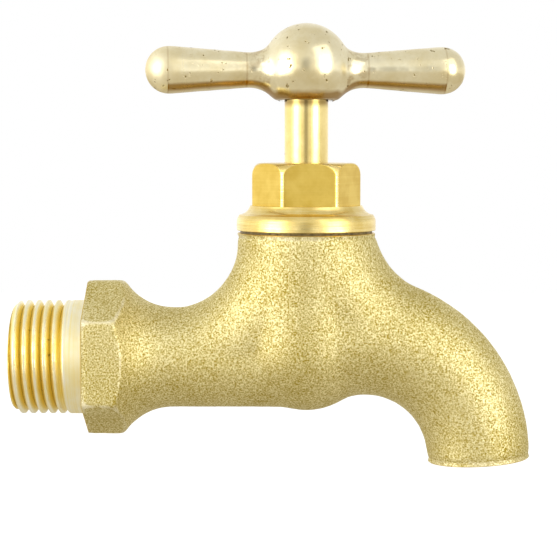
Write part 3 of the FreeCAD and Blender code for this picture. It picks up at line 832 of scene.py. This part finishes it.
@dataclass(frozen=True)
class CastSkin:
    """Uneven surface of a casting: long waves from the mould and short lumps of sand."""

    wave: float
    wave_height: float
    lump: float
    lump_height: float
    seed: float
    octaves: float = 1.0

    def cover(self, piece: bpy.types.Object, finish: bpy.types.Material) -> None:
        """Moves the surface of a working object along its normals.

        Args:
            piece: Object in millimetres.
            finish: Material of the surface.
        """
        names = ("Wave Size", "Wave Height", "Lump Size", "Lump Height", "Seed")
        sizes = (self.wave, self.wave_height, self.lump, self.lump_height, self.seed)
        rule = RuleTree("cast_skin", dict(zip(names, sizes)))
        add, inputs = rule.add, rule.inputs
        heights = []
        for form in ("Wave", "Lump"):
            scale = add(Kind.MATHS, [1.0, inputs[f"{form} Size"]], operation="DIVIDE")
            feeds = {"W": inputs["Seed"], "Scale": scale, "Detail": self.octaves}
            noise = add(Kind.NOISE, feeds, noise_dimensions="4D")
            centred = add(Kind.MATHS, [noise, HALF], operation="SUBTRACT")
            full = inputs[f"{form} Height"]
            heights.append(add(Kind.MATHS, [centred, full], operation="MULTIPLY"))
        total = add(Kind.MATHS, heights, operation="ADD")
        normal = add(Kind.NORMAL).outputs["Normal"]
        offset = add(Kind.VECTOR_MATHS, {"Vector": normal, "Scale": total}, operation="SCALE")
        feeds = {"Geometry": inputs["Geometry"], "Offset": offset}
        rule.close(add(Kind.SET_POSITION, feeds))
        rule.run(piece, finish)


def finished(piece: bpy.types.Object, body: Body, slot: Slot, *nodes: str) -> None:
    """Shades a piece in metres, hangs it on its body and reports it.

    Args:
        piece: The piece, in place.
        body: Body that it rides on.
        slot: Material slot of the record. It is not used.
        *nodes: CAD nodes that it stands for.
    """
    piece.data.shade_smooth()
    piece.data.set_sharp_from_angle(angle=SHARP_ANGLE)
    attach(piece, body.value)
    if nodes:
        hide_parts(*nodes)
    triangles = sum(len(face.vertices) - 2 for face in piece.data.polygons)
    LOG.info("%s: %d triangles on %s", piece.name, triangles, body.value)


@dataclass
class Casting:
    """Cast body with its machined ends."""

    skin: Finish = SandCastBrass("sand_cast_brass")
    faced: Finish = MachinedBrass("faced_brass", smoothest=0.24, roughest=0.36)
    unevenness: CastSkin = CastSkin(wave=7.0, wave_height=0.12, lump=1.3, lump_height=0.11, seed=4.0)
    voxel: float = 0.42
    relax_share: float = 0.5
    relax_rounds: int = 22
    edge_rounds: int = 12
    hexagon_end: float = 12.5
    hexagon_share: float = 0.08
    hexagon_fade: float = 5.0
    inlet_hole: float = 6.9
    inlet_depth: float = 0.5
    end_depth: float = 0.8
    tower_height: float = 23.0
    tower_radius: float = 12.65
    tower_hole: float = 10.03
    outlet: Vector = Vector((71.95, 0.0, -18.75))
    outlet_tilt: float = 3.4
    outlet_radius: float = 9.3
    outlet_hole: float = 7.4

    def softness(self, place: np.ndarray) -> np.ndarray:
        """Share by which points are relaxed: little on the hexagon, more further on."""
        way = np.clip((place[:, 0] - self.hexagon_end) / self.hexagon_fade, 0, 1)
        return self.hexagon_share + (self.relax_share - self.hexagon_share) * way

    def ends(self) -> list[CutEnd]:
        """Lists the machined ends.

        Returns:
            The ends at the inlet, at the tower and at the outlet.
        """
        tilt = math.radians(self.outlet_tilt)
        leaving = Vector((math.sin(tilt), 0, -math.cos(tilt)))
        tower, depth = on_axis(self.tower_height), self.end_depth
        return [
            CutEnd(Vector((0, 0, 0)), Vector((-1, 0, 0)), self.inlet_depth, self.inlet_hole),
            CutEnd(tower, Vector((0, 0, 1)), depth, self.tower_hole, self.tower_radius),
            CutEnd(self.outlet, leaving, depth, self.outlet_hole, self.outlet_radius),
        ]

    def build(self, node: bpy.types.Object) -> None:
        """Makes the piece that stands for the body's node.

        Args:
            node: CAD node of the body.
        """
        materials = [self.skin.build(), self.faced.build()]
        work = reskinned(node, self.voxel)
        relax(work.data, self.softness(points_of(work.data, "co")), self.relax_rounds)
        mark_edges(work.data, self.edge_rounds)
        self.unevenness.cover(work, materials[0])
        mesh = taken(work)
        for end in self.ends():
            end.make(mesh, slot=1)
        bmesh.ops.recalc_face_normals(mesh, faces=mesh.faces)
        piece = object_from("cast_body", mesh, MM, materials)
        finished(piece, Body.CASING, Slot.CAST, "tap_body")


@dataclass
class InletThread:
    """Pipe thread G 1/2 on the inlet spigot, with its plain collar and its bore."""

    cut: Finish = ThreadBrass("cut_thread_brass")
    plain: Finish = MachinedBrass(
        "turned_collar_brass",
        pale="#fffae0",
        deep="#fbeeb4",
        axis=Axis.X,
        line=Grain(size=0.3, octaves=2.0, low=0.3, high=0.7),
        smoothest=0.42,
        roughest=0.56,
    )
    pitch: float = 1.814
    lead_in: float = 0.56
    crest: float = 10.4775
    depth: float = 1.162
    crest_share: float = 0.2
    root_share: float = 0.95
    rounding: float = 0.5
    length: float = 13.7
    overlap: float = 0.3
    threaded: float = 10.7
    run_out: float = 1.6
    collar: float = 3.8
    chamfer: float = 1.1
    chamfer_blend: float = 0.1
    bore: float = 6.85
    bore_chamfer: float = 0.5
    seam: float = 0.01
    steps_along: int = 156
    steps_round: int = 160

    def sizes(self) -> dict[str, float]:
        """Lists the rule's inputs.

        Returns:
            The value of each input, lengths in metres.
        """
        lengths = {
            "Pitch": self.pitch,
            "Lead In": self.lead_in,
            "Crest Radius": self.crest,
            "Depth": self.depth,
            "Length": self.length + self.overlap,
            "Spigot Length": self.length,
            "Threaded Length": self.threaded,
            "Run Out": self.run_out,
            "Chamfer": self.chamfer,
            "Chamfer Blend": self.chamfer_blend,
            "Seam": self.seam,
        }
        shares = (self.crest_share, self.root_share, self.rounding)
        return {
            **{name: length * MM for name, length in lengths.items()},
            **dict(zip(("Crest Share", "Root Share", "Rounding"), shares)),
        }

    def rule(self) -> RuleTree:
        """Makes the rule that rolls a flat grid up to the threaded outside.

        Returns:
            The finished tree.
        """
        rule = RuleTree("pipe_thread", self.sizes())
        add, inputs = rule.add, rule.inputs
        steps = {"Vertices X": self.steps_along + 1, "Vertices Y": self.steps_round + 1}
        grid = add(Kind.GRID, {"Size X": inputs["Length"], "Size Y": FULL_TURN, **steps})
        place = add(Kind.SEPARATE, [add(Kind.POSITION)]).outputs
        way = add(Kind.MATHS, [inputs["Length"], HALF, place["X"]], operation="MULTIPLY_ADD")
        # The slope is 0 in the middle of a crest and 1 in the middle of a root.
        started = add(Kind.MATHS, [way, inputs["Lead In"]], operation="ADD")
        pitches = add(Kind.MATHS, [started, inputs["Pitch"]], operation="DIVIDE")
        turns = add(Kind.MATHS, [place["Y"], FULL_TURN], operation="DIVIDE")
        passed = add(Kind.MATHS, [pitches, turns], operation="SUBTRACT")
        phase = add(Kind.MATHS, [passed], operation="FRACT")
        centred = add(Kind.MATHS, [phase, 2.0, -1.0], operation="MULTIPLY_ADD")
        slope = add(Kind.MATHS, [centred], operation="ABSOLUTE")
        limits = [slope, inputs["Crest Share"], inputs["Root Share"]]
        flank = add(Kind.RANGE, limits)
        rounded = add(Kind.RANGE, limits, interpolation_type="SMOOTHSTEP")
        forms = {FACTOR: inputs["Rounding"], FLOAT_A: flank, FLOAT_B: rounded}
        profile = add(Kind.MIX, forms, data_type="FLOAT")
        # The groove gets shallower and ends before the collar.
        ahead = add(Kind.MATHS, [inputs["Threaded Length"], way], operation="SUBTRACT")
        full = {"operation": "DIVIDE", "use_clamp": True}
        presence = add(Kind.MATHS, [ahead, inputs["Run Out"]], **full)
        share = add(Kind.MATHS, [profile, presence], operation="MULTIPLY")
        cut = add(Kind.MATHS, [share, inputs["Depth"]], operation="MULTIPLY")
        threaded = add(Kind.MATHS, [inputs["Crest Radius"], cut], operation="SUBTRACT")
        # The free end has a chamfer.
        radii = [inputs["Crest Radius"], inputs["Chamfer"]]
        nose = add(Kind.MATHS, radii, operation="SUBTRACT")
        sloped = add(Kind.MATHS, [nose, way], operation="ADD")
        meeting = [threaded, sloped, inputs["Chamfer Blend"]]
        radius = add(Kind.MATHS, meeting, operation="SMOOTH_MIN")
        spot = [add(Kind.MATHS, [way, inputs["Spigot Length"]], operation="SUBTRACT")]
        for operation in ("COSINE", "SINE"):
            part = add(Kind.MATHS, [place["Y"]], operation=operation)
            spot.append(add(Kind.MATHS, [radius, part], operation="MULTIPLY"))
        feeds = {"Geometry": grid, "Position": add(Kind.COMBINE, spot)}
        tube = add(Kind.SET_POSITION, feeds)
        rule.close(add(Kind.MERGE, {"Geometry": tube, "Distance": inputs["Seam"]}))
        return rule

    def spot(self, place: Vector, along: float, radius: float) -> Vector:
        """Place in metres, moved to a radius and to a spot on the axis in millimetres."""
        return Vector((along * MM, *(Vector((place.y, place.z)).normalized() * radius * MM)))

    def build(self) -> None:
        """Makes the piece on the inlet."""
        materials = [self.cut.build(), self.plain.build()]
        work = object_from("work", bmesh.new())
        self.rule().run(work, materials[0])
        mesh = taken(work)
        for face in mesh.faces:
            face.material_index = int(face.calc_center_median().x > -self.collar * MM)
        border = [edge for edge in mesh.edges if edge.is_boundary]
        middle = -self.length / 2 * MM
        free = [edge for edge in border if edge.verts[0].co.x < middle]
        inside = [edge for edge in border if edge.verts[0].co.x >= middle]
        for along, radius in (
            (-self.length, self.bore + self.bore_chamfer),
            (self.bore_chamfer - self.length, self.bore),
            (self.overlap, self.bore),
        ):
            free = extruded(mesh, free, lambda place: self.spot(place, along, radius))
        bmesh.ops.bridge_loops(mesh, edges=free + inside)
        bmesh.ops.recalc_face_normals(mesh, faces=mesh.faces)
        piece = object_from("inlet_thread", mesh, materials=materials)
        finished(piece, Body.CASING, Slot.TURNED)


def arc(centre: Pair, radius: float, start: float, end: float, steps: int) -> list[Pair]:
    """Draws an arc in the plane of radius and height.

    Args:
        centre: Centre of the arc.
        radius: Radius of the arc.
        start: Angle of its first point, in degrees.
        end: Angle of its last point, in degrees.
        steps: Number of steps between them.

    Returns:
        The points.
    """
    points = []
    for index in range(steps + 1):
        angle = math.radians(start + (end - start) * index / steps)
        points.append((centre[0] + radius * math.cos(angle), centre[1] + radius * math.sin(angle)))
    return points


@dataclass
class Turned:
    """Closed piece of rings round the spindle's axis."""

    steps_round: int = 128
    # Direction of the first point of each ring, in degrees.
    turn: float = 0.0

    def ring(self, height: float, radius: Callable[[float], float]) -> list[Vector]:
        """Draws a ring of points.

        Args:
            height: Height of the ring.
            radius: Its radius in the direction of an angle.

        Returns:
            The points.
        """
        points = []
        for index in range(self.steps_round):
            angle = FULL_TURN * index / self.steps_round + math.radians(self.turn)
            reach = radius(angle)
            place = Vector((reach * math.cos(angle), reach * math.sin(angle), height))
            points.append(on_axis(0) + place)
        return points

    def circles(self, outline: Sequence[Pair]) -> list[list[Vector]]:
        """Round rings at the radii and heights of an outline."""
        return [self.ring(height, lambda angle: radius) for radius, height in outline]

    def shell(self, rings: Sequence[Sequence[Vector]]) -> bmesh.types.BMesh:
        """Closes a skin through rings, from the last back to the first.

        Args:
            rings: Rings of points.

        Returns:
            The mesh.
        """
        mesh = bmesh.new()
        points = [[mesh.verts.new(place) for place in ring] for ring in rings]
        for row, ring in enumerate(points):
            following = points[(row + 1) % len(points)]
            for index in range(self.steps_round):
                after = (index + 1) % self.steps_round
                mesh.faces.new((ring[index], ring[after], following[after], following[index]))
        bmesh.ops.remove_doubles(mesh, verts=mesh.verts, dist=SHELL_MERGE)
        bmesh.ops.recalc_face_normals(mesh, faces=mesh.faces)
        return mesh


@dataclass
class Bonnet(Turned):
    """Headgear turned from hexagon bar: flange, cove and hexagon with a turned crown."""

    turned: Finish = MachinedBrass(
        "turned_bonnet_brass", pale="#f8e29c", deep="#e2c46e", line_share=0.35
    )
    drawn: Finish = MachinedBrass(
        "drawn_hexagon_brass",
        pale="#eccd68",
        deep="#dcba52",
        smoothest=0.3,
        roughest=0.4,
        line_share=0.12,
    )
    steps_round: int = 720
    turn: float = 4.7
    flange_bottom: float = 23.5
    flange_radius: float = 12.75
    flange_edge: float = 0.1
    rim_top: float = 25.0
    shoulder_radius: float = 2.07
    shoulder_steps: int = 8
    cove_foot: Pair = (12.25, 26.35)
    cove_top: Pair = (10.3, 28.0)
    cove_radius: float = 2.3
    cove_steps: int = 10
    hexagon_across: float = 17.6
    hexagon_bottom: float = 28.0
    hexagon_top: float = 35.8
    hexagon_levels: int = 8
    corner_radius: float = 9.97
    corner_softness: float = 0.04
    # Directions of the sides in degrees. A side counts where the cosine of the lean is above
    # side_lean.
    sides: range = range(30, 360, 60)
    side_lean: float = 0.5
    crown_start: float = 33.5
    crown_top_radius: float = 8.4
    crown_softness: float = 0.05
    crown_levels: int = 32
    overrun: float = 0.02
    flat_tolerance: float = 0.04
    face_inset: float = 0.6
    lip: float = 0.15
    bore: tuple[Pair, ...] = (
        (4.05, 34.975), (5.1, 34.975), (5.1, 33.675), (4.05, 33.675), (4.05, 33.075), (5.3, 33.075),
        (5.3, 26.675), (6.25, 26.675), (6.25, 14.6), (9.4, 14.6), (10.0, 15.2), (10.0, 23.5),
    )

    def flat_distance(self, angle: float) -> float:
        """Finds how far off the hexagon's side is, softened at the corners.

        Args:
            angle: Direction from the axis.

        Returns:
            The distance.
        """
        total = 0.0
        for side in self.sides:
            lean = math.cos(angle - math.radians(self.turn + side))
            if lean > self.side_lean:
                total += math.exp(-self.hexagon_across / 2 / lean / self.corner_softness)
        return -self.corner_softness * math.log(total)

    def hexagon_radius(self, angle: float, height: float) -> float:
        """Finds the radius of the hexagon, its turned corners and its rounded crown.

        Args:
            angle: Direction from the axis.
            height: Height of the place.

        Returns:
            The radius.
        """
        climb = (height - self.crown_start) / (self.hexagon_top - self.crown_start)
        share = math.sqrt(1 - min(max(climb, 0.0), 1.0) ** 2)
        crown = self.crown_top_radius + (self.corner_radius - self.crown_top_radius) * share
        soft = self.crown_softness
        return -soft * math.log(math.exp(-self.flat_distance(angle) / soft) + math.exp(-crown / soft))

    def cove(self) -> list[Pair]:
        """Draws the hollow between the flange and the hexagon.

        Returns:
            Its points from the foot to the top.
        """
        (start_r, start_z), (end_r, end_z) = self.cove_foot, self.cove_top
        chord = math.hypot(end_r - start_r, end_z - start_z)
        lift = math.sqrt(self.cove_radius**2 - (chord / 2) ** 2)
        outward = ((end_z - start_z) / chord, (start_r - end_r) / chord)
        centre = (
            (start_r + end_r) / 2 + outward[0] * lift,
            (start_z + end_z) / 2 + outward[1] * lift,
        )
        first, last = (
            math.degrees(math.atan2(height - centre[1], radius - centre[0])) % 360
            for radius, height in (self.cove_foot, self.cove_top)
        )
        return arc(centre, self.cove_radius, first, last, self.cove_steps)

    def rings(self) -> list[list[Vector]]:
        """Draws the rings up the outside and down through the bore.

        Returns:
            The rings.
        """
        shoulder = (self.flange_radius - self.shoulder_radius, self.rim_top)
        rise = (self.cove_foot[1] - self.rim_top) / self.shoulder_radius
        top = math.degrees(math.asin(rise))
        outside = [
            (self.flange_radius - self.flange_edge, self.flange_bottom),
            (self.flange_radius, self.flange_bottom + self.flange_edge),
            *arc(shoulder, self.shoulder_radius, 0, top, self.shoulder_steps),
            *self.cove()[1:],
        ]
        bottom = self.hexagon_bottom + self.overrun
        climb = np.sin(np.linspace(0, math.pi / 2, self.crown_levels + 1)[1:])
        levels = [
            *np.linspace(bottom, self.crown_start, self.hexagon_levels),
            *(self.crown_start + (self.hexagon_top - self.crown_start) * climb),
        ]
        face = self.hexagon_top + self.overrun
        mouth = self.bore[0][0]
        inside = [
            (self.crown_top_radius - self.face_inset, face),
            (mouth + self.lip, face),
            (mouth, self.hexagon_top - self.lip),
            *self.bore,
        ]
        sides = [self.ring(level, lambda angle: self.hexagon_radius(angle, level)) for level in levels]
        return self.circles(outside) + sides + self.circles(inside)

    def build(self) -> None:
        """Makes the piece that stands for the bonnet's node."""
        mesh = self.shell(self.rings())
        bottom = self.hexagon_bottom + self.overrun
        for face in mesh.faces:
            middle = face.calc_center_median() - on_axis(0)
            flat = self.flat_distance(math.atan2(middle.y, middle.x)) - self.flat_tolerance
            on_hexagon = bottom < middle.z < self.hexagon_top
            face.material_index = int(on_hexagon and math.hypot(middle.x, middle.y) > flat)
        materials = [self.turned.build(), self.drawn.build()]
        piece = object_from("bonnet_headgear", mesh, MM, materials)
        finished(piece, Body.CASING, Slot.TURNED, "bonnet")


@dataclass
class Spindle(Turned):
    """Rising spindle: polished stem, sealing collar, thread and jumper socket."""

    polished: Finish = PolishedBrass(
        "polished_stem_brass",
        pale="#f4dd96",
        deep="#e2c87c",
        pits=Grain(size=1.0, octaves=3.0, low=0.72, high=0.76, harshness=0.55),
        smoothest=0.18,
        roughest=0.24,
    )
    outline: tuple[Pair, ...] = (
        (2.55, 9.6), (4.4, 9.6), (4.6, 9.8), (4.6, 14.0), (6.2, 14.0), (6.2, 22.1), (5.25, 22.1),
        (5.25, 26.55), (3.9, 26.55), (3.9, 28.25), (5.25, 28.25), (5.25, 28.4), (5.15, 28.5),
        (4.0, 28.5), (4.0, 57.1), (3.5, 57.6), (0.01, 57.6), (0.01, 21.5), (2.55, 21.5),
    )

    def build(self) -> None:
        """Makes the piece that stands for the spindle's node."""
        mesh = self.shell(self.circles(self.outline))
        piece = object_from("spindle_stem", mesh, MM, [self.polished.build()])
        finished(piece, Body.TURNING, Slot.POLISHED, "spindle")


@dataclass
class Handle:
    """Cast and polished T-handle with a ball hub."""

    polished: Finish = HandleBrass("polished_handle_brass")
    unevenness: CastSkin = CastSkin(wave=6.0, wave_height=0.16, lump=2.2, lump_height=0.02, seed=9.0)
    voxel: float = 0.27
    relax_share: float = 0.5
    relax_rounds: int = 46
    foot: CutEnd = CutEnd(
        on_axis(47.0), Vector((0, 0, -1)), depth=0.2, hole=4.03, outside=4.95, chamfer=0.06
    )

    def build(self, node: bpy.types.Object) -> None:
        """Makes the piece that stands for the handle's node.

        Args:
            node: CAD node of the handle.
        """
        material = self.polished.build()
        work = reskinned(node, self.voxel)
        relax(work.data, np.full(len(work.data.vertices), self.relax_share), self.relax_rounds)
        self.unevenness.cover(work, material)
        mesh = taken(work)
        self.foot.make(mesh, slot=0)
        bmesh.ops.recalc_face_normals(mesh, faces=mesh.faces)
        piece = object_from("tee_handle", mesh, MM, [material])
        finished(piece, Body.TURNING, Slot.HANDLE, "handle")


@dataclass
class SmallPieces:
    """Pieces whose CAD nodes stay: seals, screw, jumper and nut."""

    fibre: Finish = PlainFinish("pressed_fibre", pale="#7e6a34", deep="#52441c")
    rubber: Finish = PlainFinish("nitrile_rubber", pale="#232323", deep="#141414", smoothest=0.4)
    steel: Finish = PlainFinish(
        "plain_steel", pale="#a9a9a6", deep="#7d7d7b", metallic=1.0, smoothest=0.25, roughest=0.4
    )
    brass: Finish = MachinedBrass("turned_jumper_brass")

    def build(self, nodes: dict[str, bpy.types.Object]) -> None:
        """Gives the nodes their finishes.

        Args:
            nodes: Nodes of the frame by name.
        """
        for finish, names in (
            (self.fibre, ("bonnet_gasket",)),
            (self.rubber, ("stem_seal", "spindle_ring", "seat_washer")),
            (self.steel, ("handle_screw",)),
            (self.brass, ("jumper", "washer_nut")),
        ):
            material = finish.build()
            for name in names:
                data = nodes[name].data
                data.materials.clear()
                data.materials.append(material)
                LOG.info("%s: %s", name, material.name)


@dataclass(frozen=True)
class Softbox:
    """Soft lamp, hung once on each side of the camera."""

    part: str
    width: float
    height: float
    distance: float
    radiance: float
    # How far the lamp on each side stands above the object, as a share of its distance.
    lifts: Pair

    def hang(self, middle: Vector, side: int, angle: float) -> None:
        """Hangs the lamp so that it looks at the object.

        Args:
            middle: Middle of the object.
            side: Number of the side: 0 for the left one, 1 for the right one.
            angle: Direction from the object, in degrees from the camera's.
        """
        data = bpy.data.lights.new(f"softbox_{self.part}_{side}", "AREA")
        data.shape = "RECTANGLE"
        data.size = self.width * MM
        data.size_y = self.height * MM
        data.energy = self.radiance * math.pi * self.width * self.height * MM * MM
        lamp = bpy.data.objects.new(data.name, data)
        turn = math.radians(angle)
        way = Vector((math.sin(turn), -math.cos(turn), self.lifts[side]))
        lamp.location = (middle + way * self.distance) * MM
        lamp.rotation_euler = way.to_track_quat("Z", "Y").to_euler()
        bpy.context.scene.collection.objects.link(lamp)


@dataclass
class Studio:
    """Pale floor, two soft lamps beside the camera, and the camera."""

    floor_height: float = -110.0
    floor_size: float = 3000.0
    floor_to_eye: float = 0.42
    floor_in_mirrors: float = 0.68
    board: str = "#e6e6e4"
    board_in_mirrors: str = "#fff8ea"
    camera_place: Vector = Vector((43.6, -349.0, 40.1))
    camera_target: Vector = Vector((35.0, 0.0, 15.2))
    focal_pixels: float = 1901.0
    sensor: float = 36.0
    nearest: float = 10.0
    middle: Vector = Vector((38.0, 0.0, 20.0))
    lamp_angles: Pair = (-55.0, 51.0)
    softboxes: tuple[Softbox, Softbox] = (
        Softbox("panel", width=600.0, height=820.0, distance=650.0, radiance=0.9, lifts=(0.08, 0.42)),
        Softbox("core", width=300.0, height=480.0, distance=640.0, radiance=2.6, lifts=(0.05, 0.05)),
    )
    surround: float = 1.04
    overhead: float = 0.8
    overhead_reach: Pair = (0.1, 0.9)
    side_gains: Pair = (1.16, 0.82)
    horizon_gain: float = 1.22
    horizon_reach: float = 0.22
    # The camera and its holder are a dim oval in what the metal mirrors.
    lens_level: float = 0.36
    lens_turn: float = -1.0
    lens_edges: Pair = (6.0, 14.0)
    lens_flatness: float = 0.5

    def camera(self) -> None:
        """Makes the camera at the photograph's viewing angle."""
        data = bpy.data.cameras.new("camera")
        data.sensor_width = self.sensor
        data.lens = self.sensor * self.focal_pixels / FRAME_WIDTH
        data.clip_start = self.nearest * MM
        camera = bpy.data.objects.new("camera", data)
        camera.location = self.camera_place * MM
        look = self.camera_target - self.camera_place
        camera.rotation_euler = look.to_track_quat("-Z", "Y").to_euler()
        bpy.context.scene.collection.objects.link(camera)
        bpy.context.scene.camera = camera

    def world(self) -> None:
        """Makes white surroundings, dimmer overhead and behind the camera."""
        world = bpy.data.worlds.new("studio")
        bpy.context.scene.world = world
        world.use_nodes = True
        world.node_tree.nodes.clear()
        add = partial(add_node, world.node_tree)
        generated = add(Kind.COORDINATES).outputs["Generated"]
        way = add(Kind.SEPARATE, [generated]).outputs
        forward = add(Kind.MATHS, [way["Y"], -1.0], operation="MULTIPLY")
        turn = add(Kind.MATHS, [way["X"], forward], operation="ARCTAN2")
        ahead = math.radians(self.lens_turn)
        across = add(Kind.MATHS, [turn, ahead], operation="SUBTRACT")
        upright = add(Kind.MATHS, [way["Z"], self.lens_flatness], operation="MULTIPLY")
        spot = add(Kind.COMBINE, [across, upright])
        apart = add(Kind.VECTOR_MATHS, [spot], operation="LENGTH")
        lens_edges = (math.radians(edge) for edge in self.lens_edges)
        level = 1.0
        for feeds, smooth in (
            ([way["Z"], *self.overhead_reach, self.surround, self.overhead], "LINEAR"),
            ([way["Z"], 0.0, self.horizon_reach, self.horizon_gain, 1.0], "SMOOTHSTEP"),
            ([way["X"], -1.0, 1.0, *self.side_gains], "LINEAR"),
            ([apart, *lens_edges, self.lens_level, 1.0], "SMOOTHSTEP"),
        ):
            share = add(Kind.RANGE, feeds, interpolation_type=smooth)
            level = add(Kind.MATHS, [level, share], operation="MULTIPLY")
        seen = add(Kind.LIGHT_PATH).outputs["Is Camera Ray"]
        strengths = {FACTOR: seen, FLOAT_A: level, FLOAT_B: 1.0}
        strength = add(Kind.MIX, strengths, data_type="FLOAT")
        light = add(Kind.BACKGROUND, {"Strength": strength, "Color": linear(WHITE)})
        add(Kind.WORLD_OUTPUT, {"Surface": light})

    def floor(self) -> None:
        """Lays the floor below the outlet, lit to white for the camera and open from below."""
        material = bare_material("matte_board")
        add = partial(add_node, material.node_tree)
        rays = add(Kind.LIGHT_PATH).outputs
        shade = add(Kind.DIFFUSE, {"Color": linear(self.board)})
        direct = [rays["Is Camera Ray"], rays["Is Transmission Ray"]]
        seen = add(Kind.MATHS, direct, operation="MAXIMUM")
        lift = add(Kind.MATHS, [seen, self.floor_to_eye], operation="MULTIPLY")
        glow = add(Kind.EMISSION, {"Color": linear(WHITE), "Strength": lift})
        lit = add(Kind.ADD_SHADER, [shade, glow])
        mirrored = {"Color": linear(self.board_in_mirrors), "Strength": self.floor_in_mirrors}
        dim = add(Kind.EMISSION, mirrored)
        board = add(Kind.MIX_SHADER, [rays["Is Glossy Ray"], lit, dim])
        below = add(Kind.GEOMETRY).outputs["Backfacing"]
        clear = add(Kind.TRANSPARENT)
        open_below = add(Kind.MIX_SHADER, [below, board, clear])
        add(Kind.MATERIAL_OUTPUT, {"Surface": open_below})
        mesh = bmesh.new()
        bmesh.ops.create_grid(mesh, x_segments=1, y_segments=1, size=self.floor_size / 2)
        floor = object_from("floor", mesh, MM)
        floor.data.transform(Matrix.Translation((0, 0, self.floor_height * MM)))
        floor.data.materials.append(material)

    def build(self) -> None:
        """Sets the stage and the plain view transform."""
        bpy.context.scene.view_settings.view_transform = "Standard"
        self.camera()
        for side, angle in enumerate(self.lamp_angles):
            for softbox in self.softboxes:
                softbox.hang(self.middle, side, angle)
        self.world()
        self.floor()


def main() -> None:
    """Loads the frame and builds every piece round it."""
    logging.basicConfig(level=logging.INFO, format="%(name)s %(message)s")
    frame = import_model()
    nodes = frame["nodes"]
    Casting().build(nodes["tap_body"])
    InletThread().build()
    Bonnet().build()
    Spindle().build()
    Handle().build(nodes["handle"])
    SmallPieces().build(nodes)
    Studio().build()


if __name__ == "__main__":
    main()
